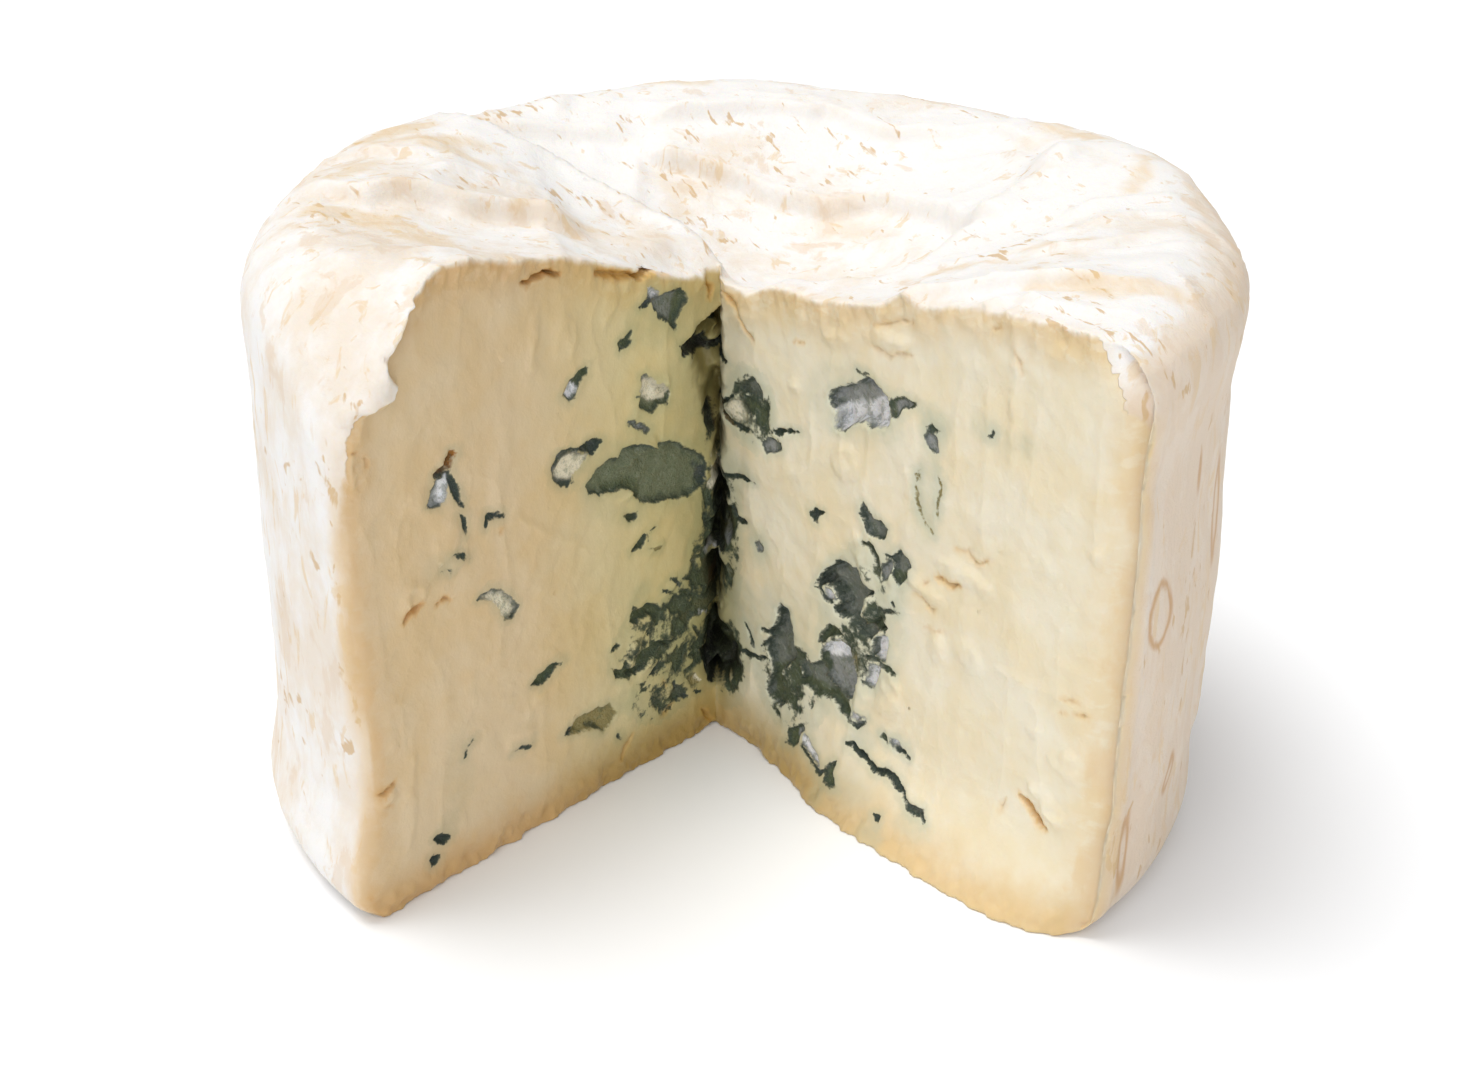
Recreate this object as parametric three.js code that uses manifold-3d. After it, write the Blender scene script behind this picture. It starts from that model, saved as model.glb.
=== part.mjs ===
// A small wheel of blue-veined soft cheese with a white rind, one wedge cut out of its front.
// It is one grown piece, so it is one solid. Millimetres, +Z up, the wedge opens towards -Y.
// The origin ends up under the middle of the whole shape's box, on the surface it stands on.
import * as THREE from 'three';
import { mergeVertices } from 'three/addons/utils/BufferGeometryUtils.js';
import Module from 'manifold-3d';

// Driving dimensions of the wheel.
const SIDE_RADIUS = 51; // at the fullest part of the side, a third of the way up
const RIM_RADIUS = 50; // just under the top rim
const BASE_ROUNDING = 5; // where the side turns under
const RIM_ROUNDING = 7.5; // where the side turns over on to the top
const RIM_HEIGHT = 65; // crest of the top rim
const BOWL_DEPTH = 9.5; // how far the middle of the top has sunk below the rim
const SEGMENTS = 72; // steps round the wheel

// The missing wedge. Its two faces meet close to the wheel's middle.
const APEX = new THREE.Vector2(-2.3, 5.3);
const LEFT_ANGLE = THREE.MathUtils.degToRad(40); // from -Y towards -X
const RIGHT_ANGLE = THREE.MathUtils.degToRad(42); // from -Y towards +X
const LEFT_CORNER_ROUNDING = 5; // where the cut face meets the side
const RIGHT_CORNER_ROUNDING = 7;

// The top left corner of the cut has slumped, and two folds of rind cross the top.
const SLUMP_DROP = 9;
const SLUMP_REACH = 17;
const FOLD_HEIGHT = 2.2;
const FOLD_WIDTH = 7;

const wasm = await Module();
wasm.setup();

// Turns a closed three.js geometry into a solid that can be cut.
function toSolid(geometry) {
  const bare = geometry.clone();
  bare.deleteAttribute('normal');
  bare.deleteAttribute('uv');
  const merged = mergeVertices(bare, 1e-4);
  const corners = [];
  for (let i = 0; i < merged.index.count; i += 3) {
    const [a, b, c] = [0, 1, 2].map((k) => merged.index.getX(i + k));
    if (a !== b && b !== c && c !== a) corners.push(a, b, c); // a pole's flat triangles are left out
  }
  return new wasm.Manifold(new wasm.Mesh({
    numProp: 3,
    vertProperties: new Float32Array(merged.attributes.position.array),
    triVerts: new Uint32Array(corners),
  }));
}

function toGeometry(solid) {
  const mesh = solid.getMesh();
  const geometry = new THREE.BufferGeometry();
  geometry.setAttribute('position', new THREE.BufferAttribute(new Float32Array(mesh.vertProperties), 3));
  geometry.setIndex(new THREE.BufferAttribute(new Uint32Array(mesh.triVerts), 1));
  geometry.computeVertexNormals();
  return geometry;
}

// Half of the wheel's section, from the middle of the base out, up the side and in to the middle of the top.
function halfSection() {
  const rimMiddle = new THREE.Vector2(RIM_RADIUS - RIM_ROUNDING, RIM_HEIGHT - RIM_ROUNDING);
  const path = new THREE.Path();
  path.moveTo(0, 0);
  path.lineTo(SIDE_RADIUS - BASE_ROUNDING - 1, 0);
  path.quadraticCurveTo(SIDE_RADIUS - 0.5, 0, SIDE_RADIUS - 0.3, BASE_ROUNDING);
  path.quadraticCurveTo(SIDE_RADIUS + 0.6, RIM_HEIGHT / 3, RIM_RADIUS, rimMiddle.y);
  path.absarc(rimMiddle.x, rimMiddle.y, RIM_ROUNDING, 0, Math.PI / 2, false);
  path.bezierCurveTo(
    rimMiddle.x * 0.7, RIM_HEIGHT,
    rimMiddle.x * 0.45, RIM_HEIGHT - BOWL_DEPTH,
    0, RIM_HEIGHT - BOWL_DEPTH,
  );
  return path.getPoints(6);
}

// How far the top surface stands above or below the plain bowl at a place on it.
function topShift(x, y) {
  const leftCorner = new THREE.Vector2(-Math.sin(LEFT_ANGLE), -Math.cos(LEFT_ANGLE)).multiplyScalar(SIDE_RADIUS);
  const toCorner = Math.hypot(x - leftCorner.x, y - leftCorner.y) / SLUMP_REACH;
  const slump = -SLUMP_DROP * Math.exp(-toCorner * toCorner);
  // The left fold runs from the apex back to the left, the right one from the middle to the right.
  const leftFold = foldAcross(x, y, APEX, new THREE.Vector2(-0.62, 0.78));
  const rightFold = foldAcross(x, y, new THREE.Vector2(20, 12), new THREE.Vector2(0.78, 0.62));
  return slump + FOLD_HEIGHT * (leftFold + 0.8 * rightFold);
}

// A rounded ridge that starts at a point and runs along a direction, and dies away at its start.
function foldAcross(x, y, start, direction) {
  const along = (x - start.x) * direction.x + (y - start.y) * direction.y;
  const across = (x - start.x) * direction.y - (y - start.y) * direction.x;
  const ridge = Math.exp(-((across / FOLD_WIDTH) ** 2));
  return ridge * THREE.MathUtils.smoothstep(along, 0, 14);
}

function wholeWheel() {
  const geometry = new THREE.LatheGeometry(halfSection(), SEGMENTS);
  geometry.rotateX(Math.PI / 2);
  const position = geometry.attributes.position;
  for (let i = 0; i < position.count; i += 1) {
    const [x, y, z] = [position.getX(i), position.getY(i), position.getZ(i)];
    // Only the upper part moves, so the base stays flat.
    const share = THREE.MathUtils.smoothstep(z, RIM_HEIGHT * 0.55, RIM_HEIGHT * 0.86);
    position.setZ(i, z + topShift(x, y) * share);
  }
  return geometry;
}

// The plan of the wedge: straight faces from the apex, which flare out where they meet the side.
function wedgePlan() {
  const left = flare(-LEFT_ANGLE, LEFT_CORNER_ROUNDING);
  const right = flare(RIGHT_ANGLE, RIGHT_CORNER_ROUNDING);
  const plan = new THREE.Shape();
  plan.moveTo(APEX.x, APEX.y);
  plan.lineTo(left.start.x, left.start.y);
  plan.quadraticCurveTo(left.corner.x, left.corner.y, left.end.x, left.end.y);
  plan.lineTo(left.outside.x, left.outside.y);
  plan.lineTo(left.outside.x, -2 * SIDE_RADIUS);
  plan.lineTo(right.outside.x, -2 * SIDE_RADIUS);
  plan.lineTo(right.outside.x, right.outside.y);
  plan.lineTo(right.end.x, right.end.y);
  plan.quadraticCurveTo(right.corner.x, right.corner.y, right.start.x, right.start.y);
  plan.lineTo(APEX.x, APEX.y);
  return plan;
}

// Where one cut face meets the side: the start and end of its rounding, and a place beyond the wheel.
function flare(angle, rounding) {
  const direction = new THREE.Vector2(Math.sin(angle), -Math.cos(angle));
  const toAxis = APEX.dot(direction);
  const reach = -toAxis + Math.sqrt(toAxis ** 2 - APEX.lengthSq() + SIDE_RADIUS ** 2);
  const corner = APEX.clone().addScaledVector(direction, reach);
  const start = APEX.clone().addScaledVector(direction, reach - rounding);
  const roundTurn = Math.sign(angle) * rounding / SIDE_RADIUS;
  const end = corner.clone().rotateAround(new THREE.Vector2(), roundTurn);
  const outside = end.clone().multiplyScalar(1.4);
  return { start, corner, end, outside };
}

function wedge() {
  const geometry = new THREE.ExtrudeGeometry(wedgePlan(), {
    depth: RIM_HEIGHT * 2,
    bevelEnabled: false,
    curveSegments: 4,
  });
  geometry.translate(0, 0, -RIM_HEIGHT / 2);
  return geometry;
}

const cheese = toGeometry(toSolid(wholeWheel()).subtract(toSolid(wedge())));
cheese.computeBoundingBox();
const middle = cheese.boundingBox.getCenter(new THREE.Vector3());
cheese.translate(-middle.x, -middle.y, -cheese.boundingBox.min.z);

const rind = new THREE.MeshStandardMaterial({ color: 0xf3ecdc, roughness: 0.55, metalness: 0 });
const wheel = new THREE.Mesh(cheese, rind);
wheel.name = 'cheese_wheel';

const part = new THREE.Group();
part.add(wheel);

export default part;
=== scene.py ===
# %% [markdown]
# # A wheel of blue cheese with one wedge cut out
#
# This file builds the looks of a small, tall wheel of soft blue cheese round a CAD model that is
# already at its real size. The cheese is one grown thing, so it is one closed mesh: a cream paste,
# a white mould rind on its outside, and blue-green mould in the holes that the knife has opened.
# Each step says what the real thing is like, how it could be made, and why this way was chosen.

import itertools
import math

import bpy
import numpy as np
from mathutils import Matrix, Vector


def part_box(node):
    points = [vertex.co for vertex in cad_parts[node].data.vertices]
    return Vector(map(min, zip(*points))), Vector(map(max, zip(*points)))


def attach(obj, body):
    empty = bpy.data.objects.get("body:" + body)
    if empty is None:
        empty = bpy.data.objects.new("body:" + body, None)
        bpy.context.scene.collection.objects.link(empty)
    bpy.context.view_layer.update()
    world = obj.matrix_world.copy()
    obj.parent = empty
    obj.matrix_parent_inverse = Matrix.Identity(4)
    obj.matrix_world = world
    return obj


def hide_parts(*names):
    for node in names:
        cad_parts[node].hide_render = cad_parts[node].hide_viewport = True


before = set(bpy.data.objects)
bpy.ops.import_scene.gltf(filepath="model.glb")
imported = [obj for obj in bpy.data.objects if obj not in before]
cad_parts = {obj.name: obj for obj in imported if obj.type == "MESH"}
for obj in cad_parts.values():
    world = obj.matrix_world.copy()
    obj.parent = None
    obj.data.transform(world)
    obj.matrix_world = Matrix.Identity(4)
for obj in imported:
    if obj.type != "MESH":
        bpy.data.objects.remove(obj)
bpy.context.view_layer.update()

MM = 0.001
low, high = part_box("cheese_wheel")
wheel_radius = (high.x - low.x) / 2
axis_y = high.y - wheel_radius
wheel_height = high.z
print("wheel radius", round(wheel_radius / MM, 1), "mm, axis at y", round(axis_y / MM, 1), "mm")

# %% [markdown]
# ## The camera
#
# The wheel is seen from the front and a little above, so close that its far rim looks clearly
# smaller than its near edges. A normal lens at about four radii does that. The camera comes first
# because every later choice is judged through it.

# %% The camera
CAMERA_BACK = 211.3 * MM  # from the wheel's axis
CAMERA_UP = 132.3 * MM
CAMERA_TILT = math.radians(26.51)  # below the horizon
CAMERA_ROLL = math.radians(0.89)
CAMERA_SIDE = -0.7 * MM  # from the wheel's axis, to the right
LENS = 52.97
SENSOR_WIDTH = 36
NEAREST_SEEN = 0.01  # metres


def add_camera():
    camera = bpy.data.objects.new("camera", bpy.data.cameras.new("camera"))
    bpy.context.collection.objects.link(camera)
    camera.data.lens = LENS
    camera.data.sensor_width = SENSOR_WIDTH
    place = Matrix.Translation((CAMERA_SIDE, axis_y - CAMERA_BACK, CAMERA_UP))
    tilt = Matrix.Rotation(math.pi / 2 - CAMERA_TILT, 4, "X")
    camera.matrix_world = place @ tilt @ Matrix.Rotation(CAMERA_ROLL, 4, "Z")
    camera.data.clip_start = NEAREST_SEEN
    return camera


bpy.context.scene.camera = add_camera()
bpy.context.scene.view_settings.view_transform = "Standard"
print("camera", CAMERA_BACK / wheel_radius, "radii from the axis")

# %% [markdown]
# ## The floor and the light
#
# Food is often lit on white, with one big soft lamp and pale light from everywhere else. Here the
# big lamp is almost overhead and a little to the left, so the left cut face is in shade, the right
# one is bright, and a soft shadow falls on the floor to the right. A weaker lamp in front and a
# white world fill the shade.

# %% The floor and the light
FLOOR_SIZE = 60  # metres, so that its far edge is out of sight
FLOOR_WHITE = (0.93, 0.945, 0.97, 1)
WORLD_STRENGTH = 0.46
LAMPS = [
    # name, where it shines from, softness in degrees, power, colour
    ("key_lamp", (-0.28, 0.08, 0.94), 32, 1.8, (1, 0.985, 0.96)),
    ("fill_lamp", (-0.12, -0.8, 0.62), 60, 1.1, (1, 1, 1)),
]

bpy.ops.object.select_all(action="DESELECT")


def add_floor():
    bpy.ops.mesh.primitive_plane_add(size=FLOOR_SIZE, location=(0, 0, 0))
    floor = bpy.context.object
    floor.name = "floor"
    material = bpy.data.materials.new("white_board")
    material.use_nodes = True
    shader = material.node_tree.nodes["Principled BSDF"]
    shader.inputs["Base Color"].default_value = FLOOR_WHITE
    shader.inputs["Roughness"].default_value = 0.7
    shader.inputs["Specular IOR Level"].default_value = 0.1
    floor.data.materials.append(material)


def add_lamp(name, place, softness, power, colour):
    """A far, soft lamp that shines on the wheel from a place; softness is the angle that it fills."""
    bpy.ops.object.light_add(type="SUN", location=place)
    lamp = bpy.context.object
    lamp.name = name
    lamp.data.angle = math.radians(softness)
    lamp.data.energy = power
    lamp.data.color = colour
    target = Vector((0, 0, wheel_height / 2))
    lamp.rotation_euler = (target - lamp.location).to_track_quat("-Z", "Y").to_euler()


def add_world(strength):
    world = bpy.data.worlds.new("white_room")
    world.use_nodes = True
    background = world.node_tree.nodes["Background"]
    background.inputs["Color"].default_value = (1, 1, 1, 1)
    background.inputs["Strength"].default_value = strength
    bpy.context.scene.world = world


add_floor()
for name, place, softness, power, colour in LAMPS:
    add_lamp(name, place, softness, power, colour)
add_world(WORLD_STRENGTH)

# %% [markdown]
# ## The plain wheel
#
# The wheel starts as a cylinder. Its two rims are bevelled, because a soft cheese has no sharp
# edge, and its top is inset and pushed down in steps, because the middle sinks while it ripens.
# A lathe profile would do as well, but bevel and inset need only one number each.

# %% Selecting by place
def select_only(obj):
    bpy.ops.object.select_all(action="DESELECT")
    obj.select_set(True)
    bpy.context.view_layer.objects.active = obj


def select_parts(obj, mode, wanted):
    """In edit mode, selects the vertices, edges or faces for which wanted(middle, normal) is true."""
    bpy.ops.object.mode_set(mode="EDIT")
    bpy.ops.mesh.select_mode(type=mode)
    bpy.ops.mesh.select_all(action="DESELECT")
    bpy.ops.object.mode_set(mode="OBJECT")
    mesh = obj.data
    if mode == "FACE":
        for face in mesh.polygons:
            face.select = wanted(face.center, face.normal)
    else:
        for edge in mesh.edges:
            ends = [mesh.vertices[i].co for i in edge.vertices]
            edge.select = wanted((ends[0] + ends[1]) / 2, (ends[1] - ends[0]).normalized())
    bpy.ops.object.mode_set(mode="EDIT")

# %% The plain wheel
BASE_ROUNDING = 3 * MM
RIM_ROUNDING = 7.5 * MM
RIM_HEIGHT = 65 * MM
TOP_STEPS = ((8, -1.6), (10, -3.4), (9, -2.8), (8, -1.4))  # how far in and how far down, in millimetres


def from_axis(place):
    return math.hypot(place.x, place.y - axis_y)


def add_plain_wheel():
    bpy.ops.mesh.primitive_cylinder_add(
        vertices=96, radius=wheel_radius, depth=RIM_HEIGHT, location=(0, axis_y, RIM_HEIGHT / 2)
    )
    wheel = bpy.context.object
    wheel.name = "blue_cheese_wheel"
    bpy.ops.object.transform_apply(location=True, rotation=True, scale=True)
    top_rim = RIM_HEIGHT - MM
    select_parts(wheel, "EDGE", lambda p, d: p.z > top_rim and abs(d.z) < 0.5)
    bpy.ops.mesh.bevel(offset=RIM_ROUNDING, segments=5)
    select_parts(wheel, "EDGE", lambda p, d: p.z < MM and abs(d.z) < 0.5)
    bpy.ops.mesh.bevel(offset=BASE_ROUNDING, segments=4)
    select_parts(wheel, "FACE", lambda p, n: n.z > 0.99)
    for ring, drop in TOP_STEPS:
        bpy.ops.mesh.inset(thickness=ring * MM)
        bpy.ops.transform.translate(value=(0, 0, drop * MM))
    bpy.ops.object.mode_set(mode="OBJECT")
    return wheel


bpy.ops.object.select_all(action="DESELECT")
wheel = add_plain_wheel()
print("plain wheel", len(wheel.data.polygons), "faces")

# %% [markdown]
# ## Cutting the wedge out
#
# A knife went in at the middle twice and a wedge was lifted out. A cube is turned into that wedge by
# merging its two back edges into one, and a Boolean takes it out of the wheel. The two upright
# corners that this leaves are bevelled, because the soft paste sags over there.

# %% The missing wedge
APEX = (-2.3, 5.3)  # millimetres from the axis
LEFT_LEAN = math.radians(40)  # of each cut face, from straight forward
RIGHT_LEAN = math.radians(42)
WEDGE_REACH = 90 * MM
CUTTER_WIDTH = 0.1  # metres, before its corners are moved
CUTTER_HEIGHT = 0.2


def add_wedge():
    bpy.ops.mesh.primitive_cube_add(size=1, location=(0, 0, 0))
    wedge = bpy.context.object
    wedge.name = "wedge_cutter"
    wedge.scale = (CUTTER_WIDTH, WEDGE_REACH, CUTTER_HEIGHT)
    wedge.location = (APEX[0] * MM, axis_y + APEX[1] * MM - WEDGE_REACH / 2, wheel_height / 2)
    bpy.ops.object.transform_apply(location=True, rotation=True, scale=True)
    apex_x = APEX[0] * MM
    back_y = axis_y + APEX[1] * MM
    for height in (-0.01, wheel_height + 0.01):
        select_parts(wedge, "EDGE", lambda p, d: abs(p.y - back_y) < MM and (p.z - height) ** 2 < 0.06**2
                     and abs(d.x) > 0.9)
        bpy.ops.mesh.merge(type="CENTER")
    for side, lean in ((-1, LEFT_LEAN), (1, RIGHT_LEAN)):
        select_parts(wedge, "EDGE", lambda p, d: p.y < back_y - MM and side * (p.x - apex_x) > 0.01
                     and abs(d.z) > 0.9)
        outward = WEDGE_REACH * math.tan(lean) - CUTTER_WIDTH / 2
        bpy.ops.transform.translate(value=(side * outward, 0, 0))
    bpy.ops.object.mode_set(mode="OBJECT")
    return wedge


def cut_wedge_out(wheel):
    wedge = add_wedge()
    select_only(wheel)
    cut = wheel.modifiers.new("cut", "BOOLEAN")
    cut.operation = "DIFFERENCE"
    cut.object = wedge
    bpy.ops.object.modifier_apply(modifier=cut.name)
    bpy.data.objects.remove(wedge)


cut_wedge_out(wheel)
print("cut wheel", [round(v / MM, 1) for v in wheel.dimensions])

# %% Soft upright corners
LEFT_CORNER_ROUNDING = 2.2 * MM
RIGHT_CORNER_ROUNDING = 4 * MM
ON_PLANE = 0.05  # millimetres
SMOOTHING_ROUNDS = 8
FINE_STEP = 0.5 * MM


def round_corner(wheel, side, width):
    def is_upright(p, d):
        return abs(d.z) > 0.3 and abs(from_axis(p) - wheel_radius) < RIM_ROUNDING and near_cut(p, side)

    def is_corner(p, d):
        return side * p.x > 0.5 * wheel_radius and p.y < axis_y - 0.5 * wheel_radius and is_upright(p, d)

    select_parts(wheel, "EDGE", is_corner)
    bpy.ops.mesh.bevel(offset=width, segments=4)
    bpy.ops.object.mode_set(mode="OBJECT")


def near_cut(place, side):
    """True on the plane of the left (-1) or the right (1) cut face."""
    lean = LEFT_LEAN if side < 0 else RIGHT_LEAN
    x = place.x / MM - APEX[0]
    y = (place.y - axis_y) / MM - APEX[1]
    return abs(x * math.cos(lean) + y * math.sin(lean) * side) < ON_PLANE


def remesh_evenly(obj, step):
    select_only(obj)
    obj.data.remesh_voxel_size = step
    obj.data.remesh_voxel_adaptivity = 0
    bpy.ops.object.voxel_remesh()
    soften = obj.modifiers.new("soften", "SMOOTH")
    soften.iterations = SMOOTHING_ROUNDS
    bpy.ops.object.modifier_apply(modifier=soften.name)


round_corner(wheel, -1, LEFT_CORNER_ROUNDING)
round_corner(wheel, 1, RIGHT_CORNER_ROUNDING)
remesh_evenly(wheel, FINE_STEP)
print("even wheel", len(wheel.data.polygons), "faces", [round(v / MM, 1) for v in wheel.dimensions])

# %% [markdown]
# ## A finer skin on the cut faces
#
# The cut faces carry much finer detail than the rind, so their faces are divided once more. Faces
# are picked by where they are: close to one of the two planes, on the wedge's side of the apex.

# %% Dividing the cut faces
def cut_direction(side):
    lean = LEFT_LEAN if side < 0 else RIGHT_LEAN
    return np.array([side * math.sin(lean), -math.cos(lean)])


def cut_normal(side):
    """Points out of the cheese, into the notch."""
    along = cut_direction(side)
    return np.array([side * along[1], -side * along[0]])


def to_millimetres(coordinates):
    return coordinates / MM - np.array([0, axis_y / MM, 0])


def on_cut_face(place, side):
    """Distance along a cut face from the apex and out from its plane, in millimetres."""
    flat = place[:, :2] - np.array(APEX)
    return flat @ cut_direction(side), flat @ cut_normal(side)


def divide_cut_faces(obj):
    mesh = obj.data
    middles = np.empty(len(mesh.polygons) * 3)
    mesh.polygons.foreach_get("center", middles)
    place = to_millimetres(middles.reshape(-1, 3))
    chosen = np.zeros(len(place), bool)
    for side in (-1, 1):
        along, out = on_cut_face(place, side)
        chosen |= (abs(out) < 0.4) & (along > -0.5) & (along < 60)
    bpy.ops.object.mode_set(mode="EDIT")
    bpy.ops.mesh.select_mode(type="FACE")
    bpy.ops.mesh.select_all(action="DESELECT")
    bpy.ops.object.mode_set(mode="OBJECT")
    mesh.polygons.foreach_set("select", chosen)
    bpy.ops.object.mode_set(mode="EDIT")
    bpy.ops.mesh.subdivide(number_cuts=1)
    bpy.ops.object.mode_set(mode="OBJECT")


divide_cut_faces(wheel)
print("divided wheel", len(wheel.data.vertices), "vertices")

# %% [markdown]
# ## Random hills
#
# Almost every natural surface here is a plain shape plus random hills of some size. This one
# function gives them: random numbers on a grid, eased between the grid's points, seeded so that each
# run gives the same cheese. Adding finer and lower hills on top makes them look grown.

# %% Random hills
GRID = 32


def smooth_step(value, start, end):
    share = np.clip((value - start) / (end - start), 0, 1)
    return share * share * (3 - 2 * share)


def hills(place, size, seed):
    """Smooth random hills about size millimetres across, between -1 and 1."""
    table = np.random.default_rng(seed).uniform(-1, 1, (GRID, GRID, GRID))
    scaled = place / size
    corner = np.floor(scaled).astype(int)
    ease = scaled - corner
    ease = ease * ease * (3 - 2 * ease)
    total = np.zeros(len(place))
    for step in itertools.product((0, 1), repeat=3):
        weight = np.prod([ease[:, i] if step[i] else 1 - ease[:, i] for i in range(3)], axis=0)
        at = [(corner[:, i] + step[i]) % GRID for i in range(3)]
        total += weight * table[at[0], at[1], at[2]]
    return total


def rough_hills(place, size, seed, octaves=3):
    """Hills with finer, lower hills on top of them."""
    total = np.zeros(len(place))
    for octave in range(octaves):
        total += hills(place, size / 2**octave, seed + octave) / 2**octave
    return total / 1.5

# %% [markdown]
# ## Folds in the rind on top
#
# As the middle sinks, the rind on top has too much skin and lies in long, soft folds. Each fold is a
# line seen from above, with a high side that falls away slowly and a low side that drops at once.
# A sculpting brush would do this by hand. Here each stroke is a short list of places, so that it can
# be read and changed.

# %% Distance from a line
def beside_line(points, flat):
    """Distance from a line of points, signed (positive on its left), and the length walked along it."""
    best = np.full(len(flat), 1e9)
    signed = np.zeros(len(flat))
    walked = np.zeros(len(flat))
    travelled = 0
    for start, end in zip(points, points[1:]):
        start, end = np.array(start, float), np.array(end, float)
        step = end - start
        length = np.linalg.norm(step)
        share = np.clip((flat - start) @ step / length**2, 0, 1)
        away = flat - start - share[:, None] * step
        distance = np.hypot(away[:, 0], away[:, 1])
        nearer = distance < best
        best = np.where(nearer, distance, best)
        turn = np.sign(step[0] * away[:, 1] - step[1] * away[:, 0])
        signed = np.where(nearer, distance * turn, signed)
        walked = np.where(nearer, travelled + share * length, walked)
        travelled += length
    return signed, walked, travelled


FOLD_TAPER = 5  # how far from its end a fold has faded away, in millimetres


def fold(flat, points, height, slope, drop, high_side):
    """Height of a fold: it falls slowly over slope millimetres on one side and over drop on the other."""
    signed, walked, length = beside_line(points, flat)
    distance = signed * high_side
    high = np.exp(-np.clip(distance, 0, None) / slope)
    low = np.exp(-((np.clip(distance, None, 0) / drop) ** 2))
    ends = smooth_step(walked, -1, FOLD_TAPER) * smooth_step(length - walked, -1, FOLD_TAPER)
    return height * high * low * ends

# %% The top
TOP_FOLDS = [
    # places across the top, height, slope, drop, high side
    (((-40, 33), (-35, 26), (-30, 21), (-20, 18.5), (-12, 13.5), (-6, 9), (-2, 4)), 4.2, 11, 0.9, -1),
    (((-48, 4), (-40, -1.5), (-30, -1.2), (-19, 0.5), (-15, 2)), 2.6, 9, 0.9, 1),
    (((-12, 29), (-2, 27), (8, 22), (15, 20), (22, 12.5), (25, 5.5), (28, 3)), 2.0, 6, 0.55, 1),
    (((1, 3), (8, -1), (16, -1.5), (23, 2), (31, 10), (38, 20)), 2.2, 9, 2.2, -1),
    (((14, -12), (22, -16), (30, -19), (38, -23.5), (47, -25)), 1.7, 7, 0.9, 1),
    (((-12, 34), (0, 36.5), (10, 36.5), (19, 31), (28, 29.5), (34, 23)), 1.5, 6, 0.8, 1),
    (((-13, 15), (-12.5, 22), (-12, 31)), 0.8, 9, 1.8, 1),
    (((-30, 30), (-22, 31), (-12, 31)), 1.5, 6, 0.9, 1),
    (((-23, 31), (-22.5, 38), (-24, 46)), 1.0, 4, 1.2, 1),
    (((-44, 13), (-38, 9), (-31, 9.5)), 1.0, 5, 0.45, 1),
    (((31, -1), (38, 2), (47, 4)), 1.0, 6, 0.7, -1),
    (((26, -8), (34, -9), (46, -7)), 0.8, 5, 0.6, 1),
    (((-34, 4), (-26, 7), (-18, 9)), 0.7, 4, 0.5, 1),
    (((20, -20), (30, -26), (40, -31)), 0.9, 5, 0.6, 1),
]
SUNKEN = [
    # middle, radius, how deep
    ((6, 13), 15, 3.0),
    ((-21, 25), 9, 1.8),
    ((22, 26), 9, 1.0),
    ((30, -30), 11, 1.8),
    ((-27, -25), 9, -2.4),
    ((-16, -12), 13, -4.4),
    ((-28, 3), 12, -1.4),
    ((-8, 1), 5, -1.0),
    ((2, 47), 20, -1.0),
    ((42, 16), 12, -1.5),
    ((-38, 14), 12, -0.5),
]
SLUMP_CORNER = (-37, -37)
SLUMP_DROP = 8.5
SLUMP_REACH = 9.5


def wandered(place):
    """Places seen from above, moved about at random so that no line stays straight."""
    level = place * [1, 1, 0]
    wander = [hills(level, 8, seed) + 0.5 * hills(level, 3.5, seed + 3) for seed in (11, 12)]
    return place[:, :2] + 1.1 * np.stack(wander, axis=1)


def patch(flat, middle, reach):
    """1 in the middle of a round patch seen from above, fading away past its reach."""
    away = np.hypot(*(flat - middle).T) / reach
    return np.exp(-(away**2))


def top_shift(place):
    """How far the top stands above or below the plain bowl, in millimetres."""
    level = place * [1, 1, 0]
    flat = wandered(place)
    total = 0.9 * rough_hills(level, 26, 20)
    creased = level + 2.5 * hills(level, 7, 140)[:, None]
    total += 0.4 * (1 - abs(hills(creased * [0.7, 1.3, 1], 9, 141))) ** 7
    total += 0.15 * (1 - abs(hills(creased * [0.7, 1.2, 1], 4, 142))) ** 5
    away_from_rim = 0.1 + 0.9 * smooth_step(np.hypot(place[:, 0], place[:, 1]), 49, 34)
    for points, height, slope, drop, high_side in TOP_FOLDS:
        total += fold(flat, points, height, slope, drop, high_side) * away_from_rim
    for middle, radius, depth in SUNKEN:
        total -= depth * patch(flat, middle, radius)
    return total - SLUMP_DROP * patch(place[:, :2], SLUMP_CORNER, SLUMP_REACH)


def crease_shade(place):
    """How close a place lies to the foot of a fold, where painted shade darkens the rind."""
    shade = np.zeros(len(place))
    flat = wandered(place)
    for points, height, _, _, high_side in TOP_FOLDS:
        signed, walked, length = beside_line(points, flat)
        foot = np.exp(-(((signed * high_side + 0.7) / 0.7) ** 2))
        ends = smooth_step(np.minimum(walked, length - walked), -1, 4)
        shade = np.maximum(shade, foot * min(height / 2.5, 1) * ends)
    return shade


def read_places(obj):
    flat = np.empty(len(obj.data.vertices) * 3)
    obj.data.vertices.foreach_get("co", flat)
    return to_millimetres(flat.reshape(-1, 3))


def write_places(obj, place):
    metres = (place + np.array([0, axis_y / MM, 0])) * MM
    obj.data.vertices.foreach_set("co", metres.ravel())
    obj.data.update()


rest = read_places(wheel)
print("rest shape", rest.min(0).round(1), rest.max(0).round(1))

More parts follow.
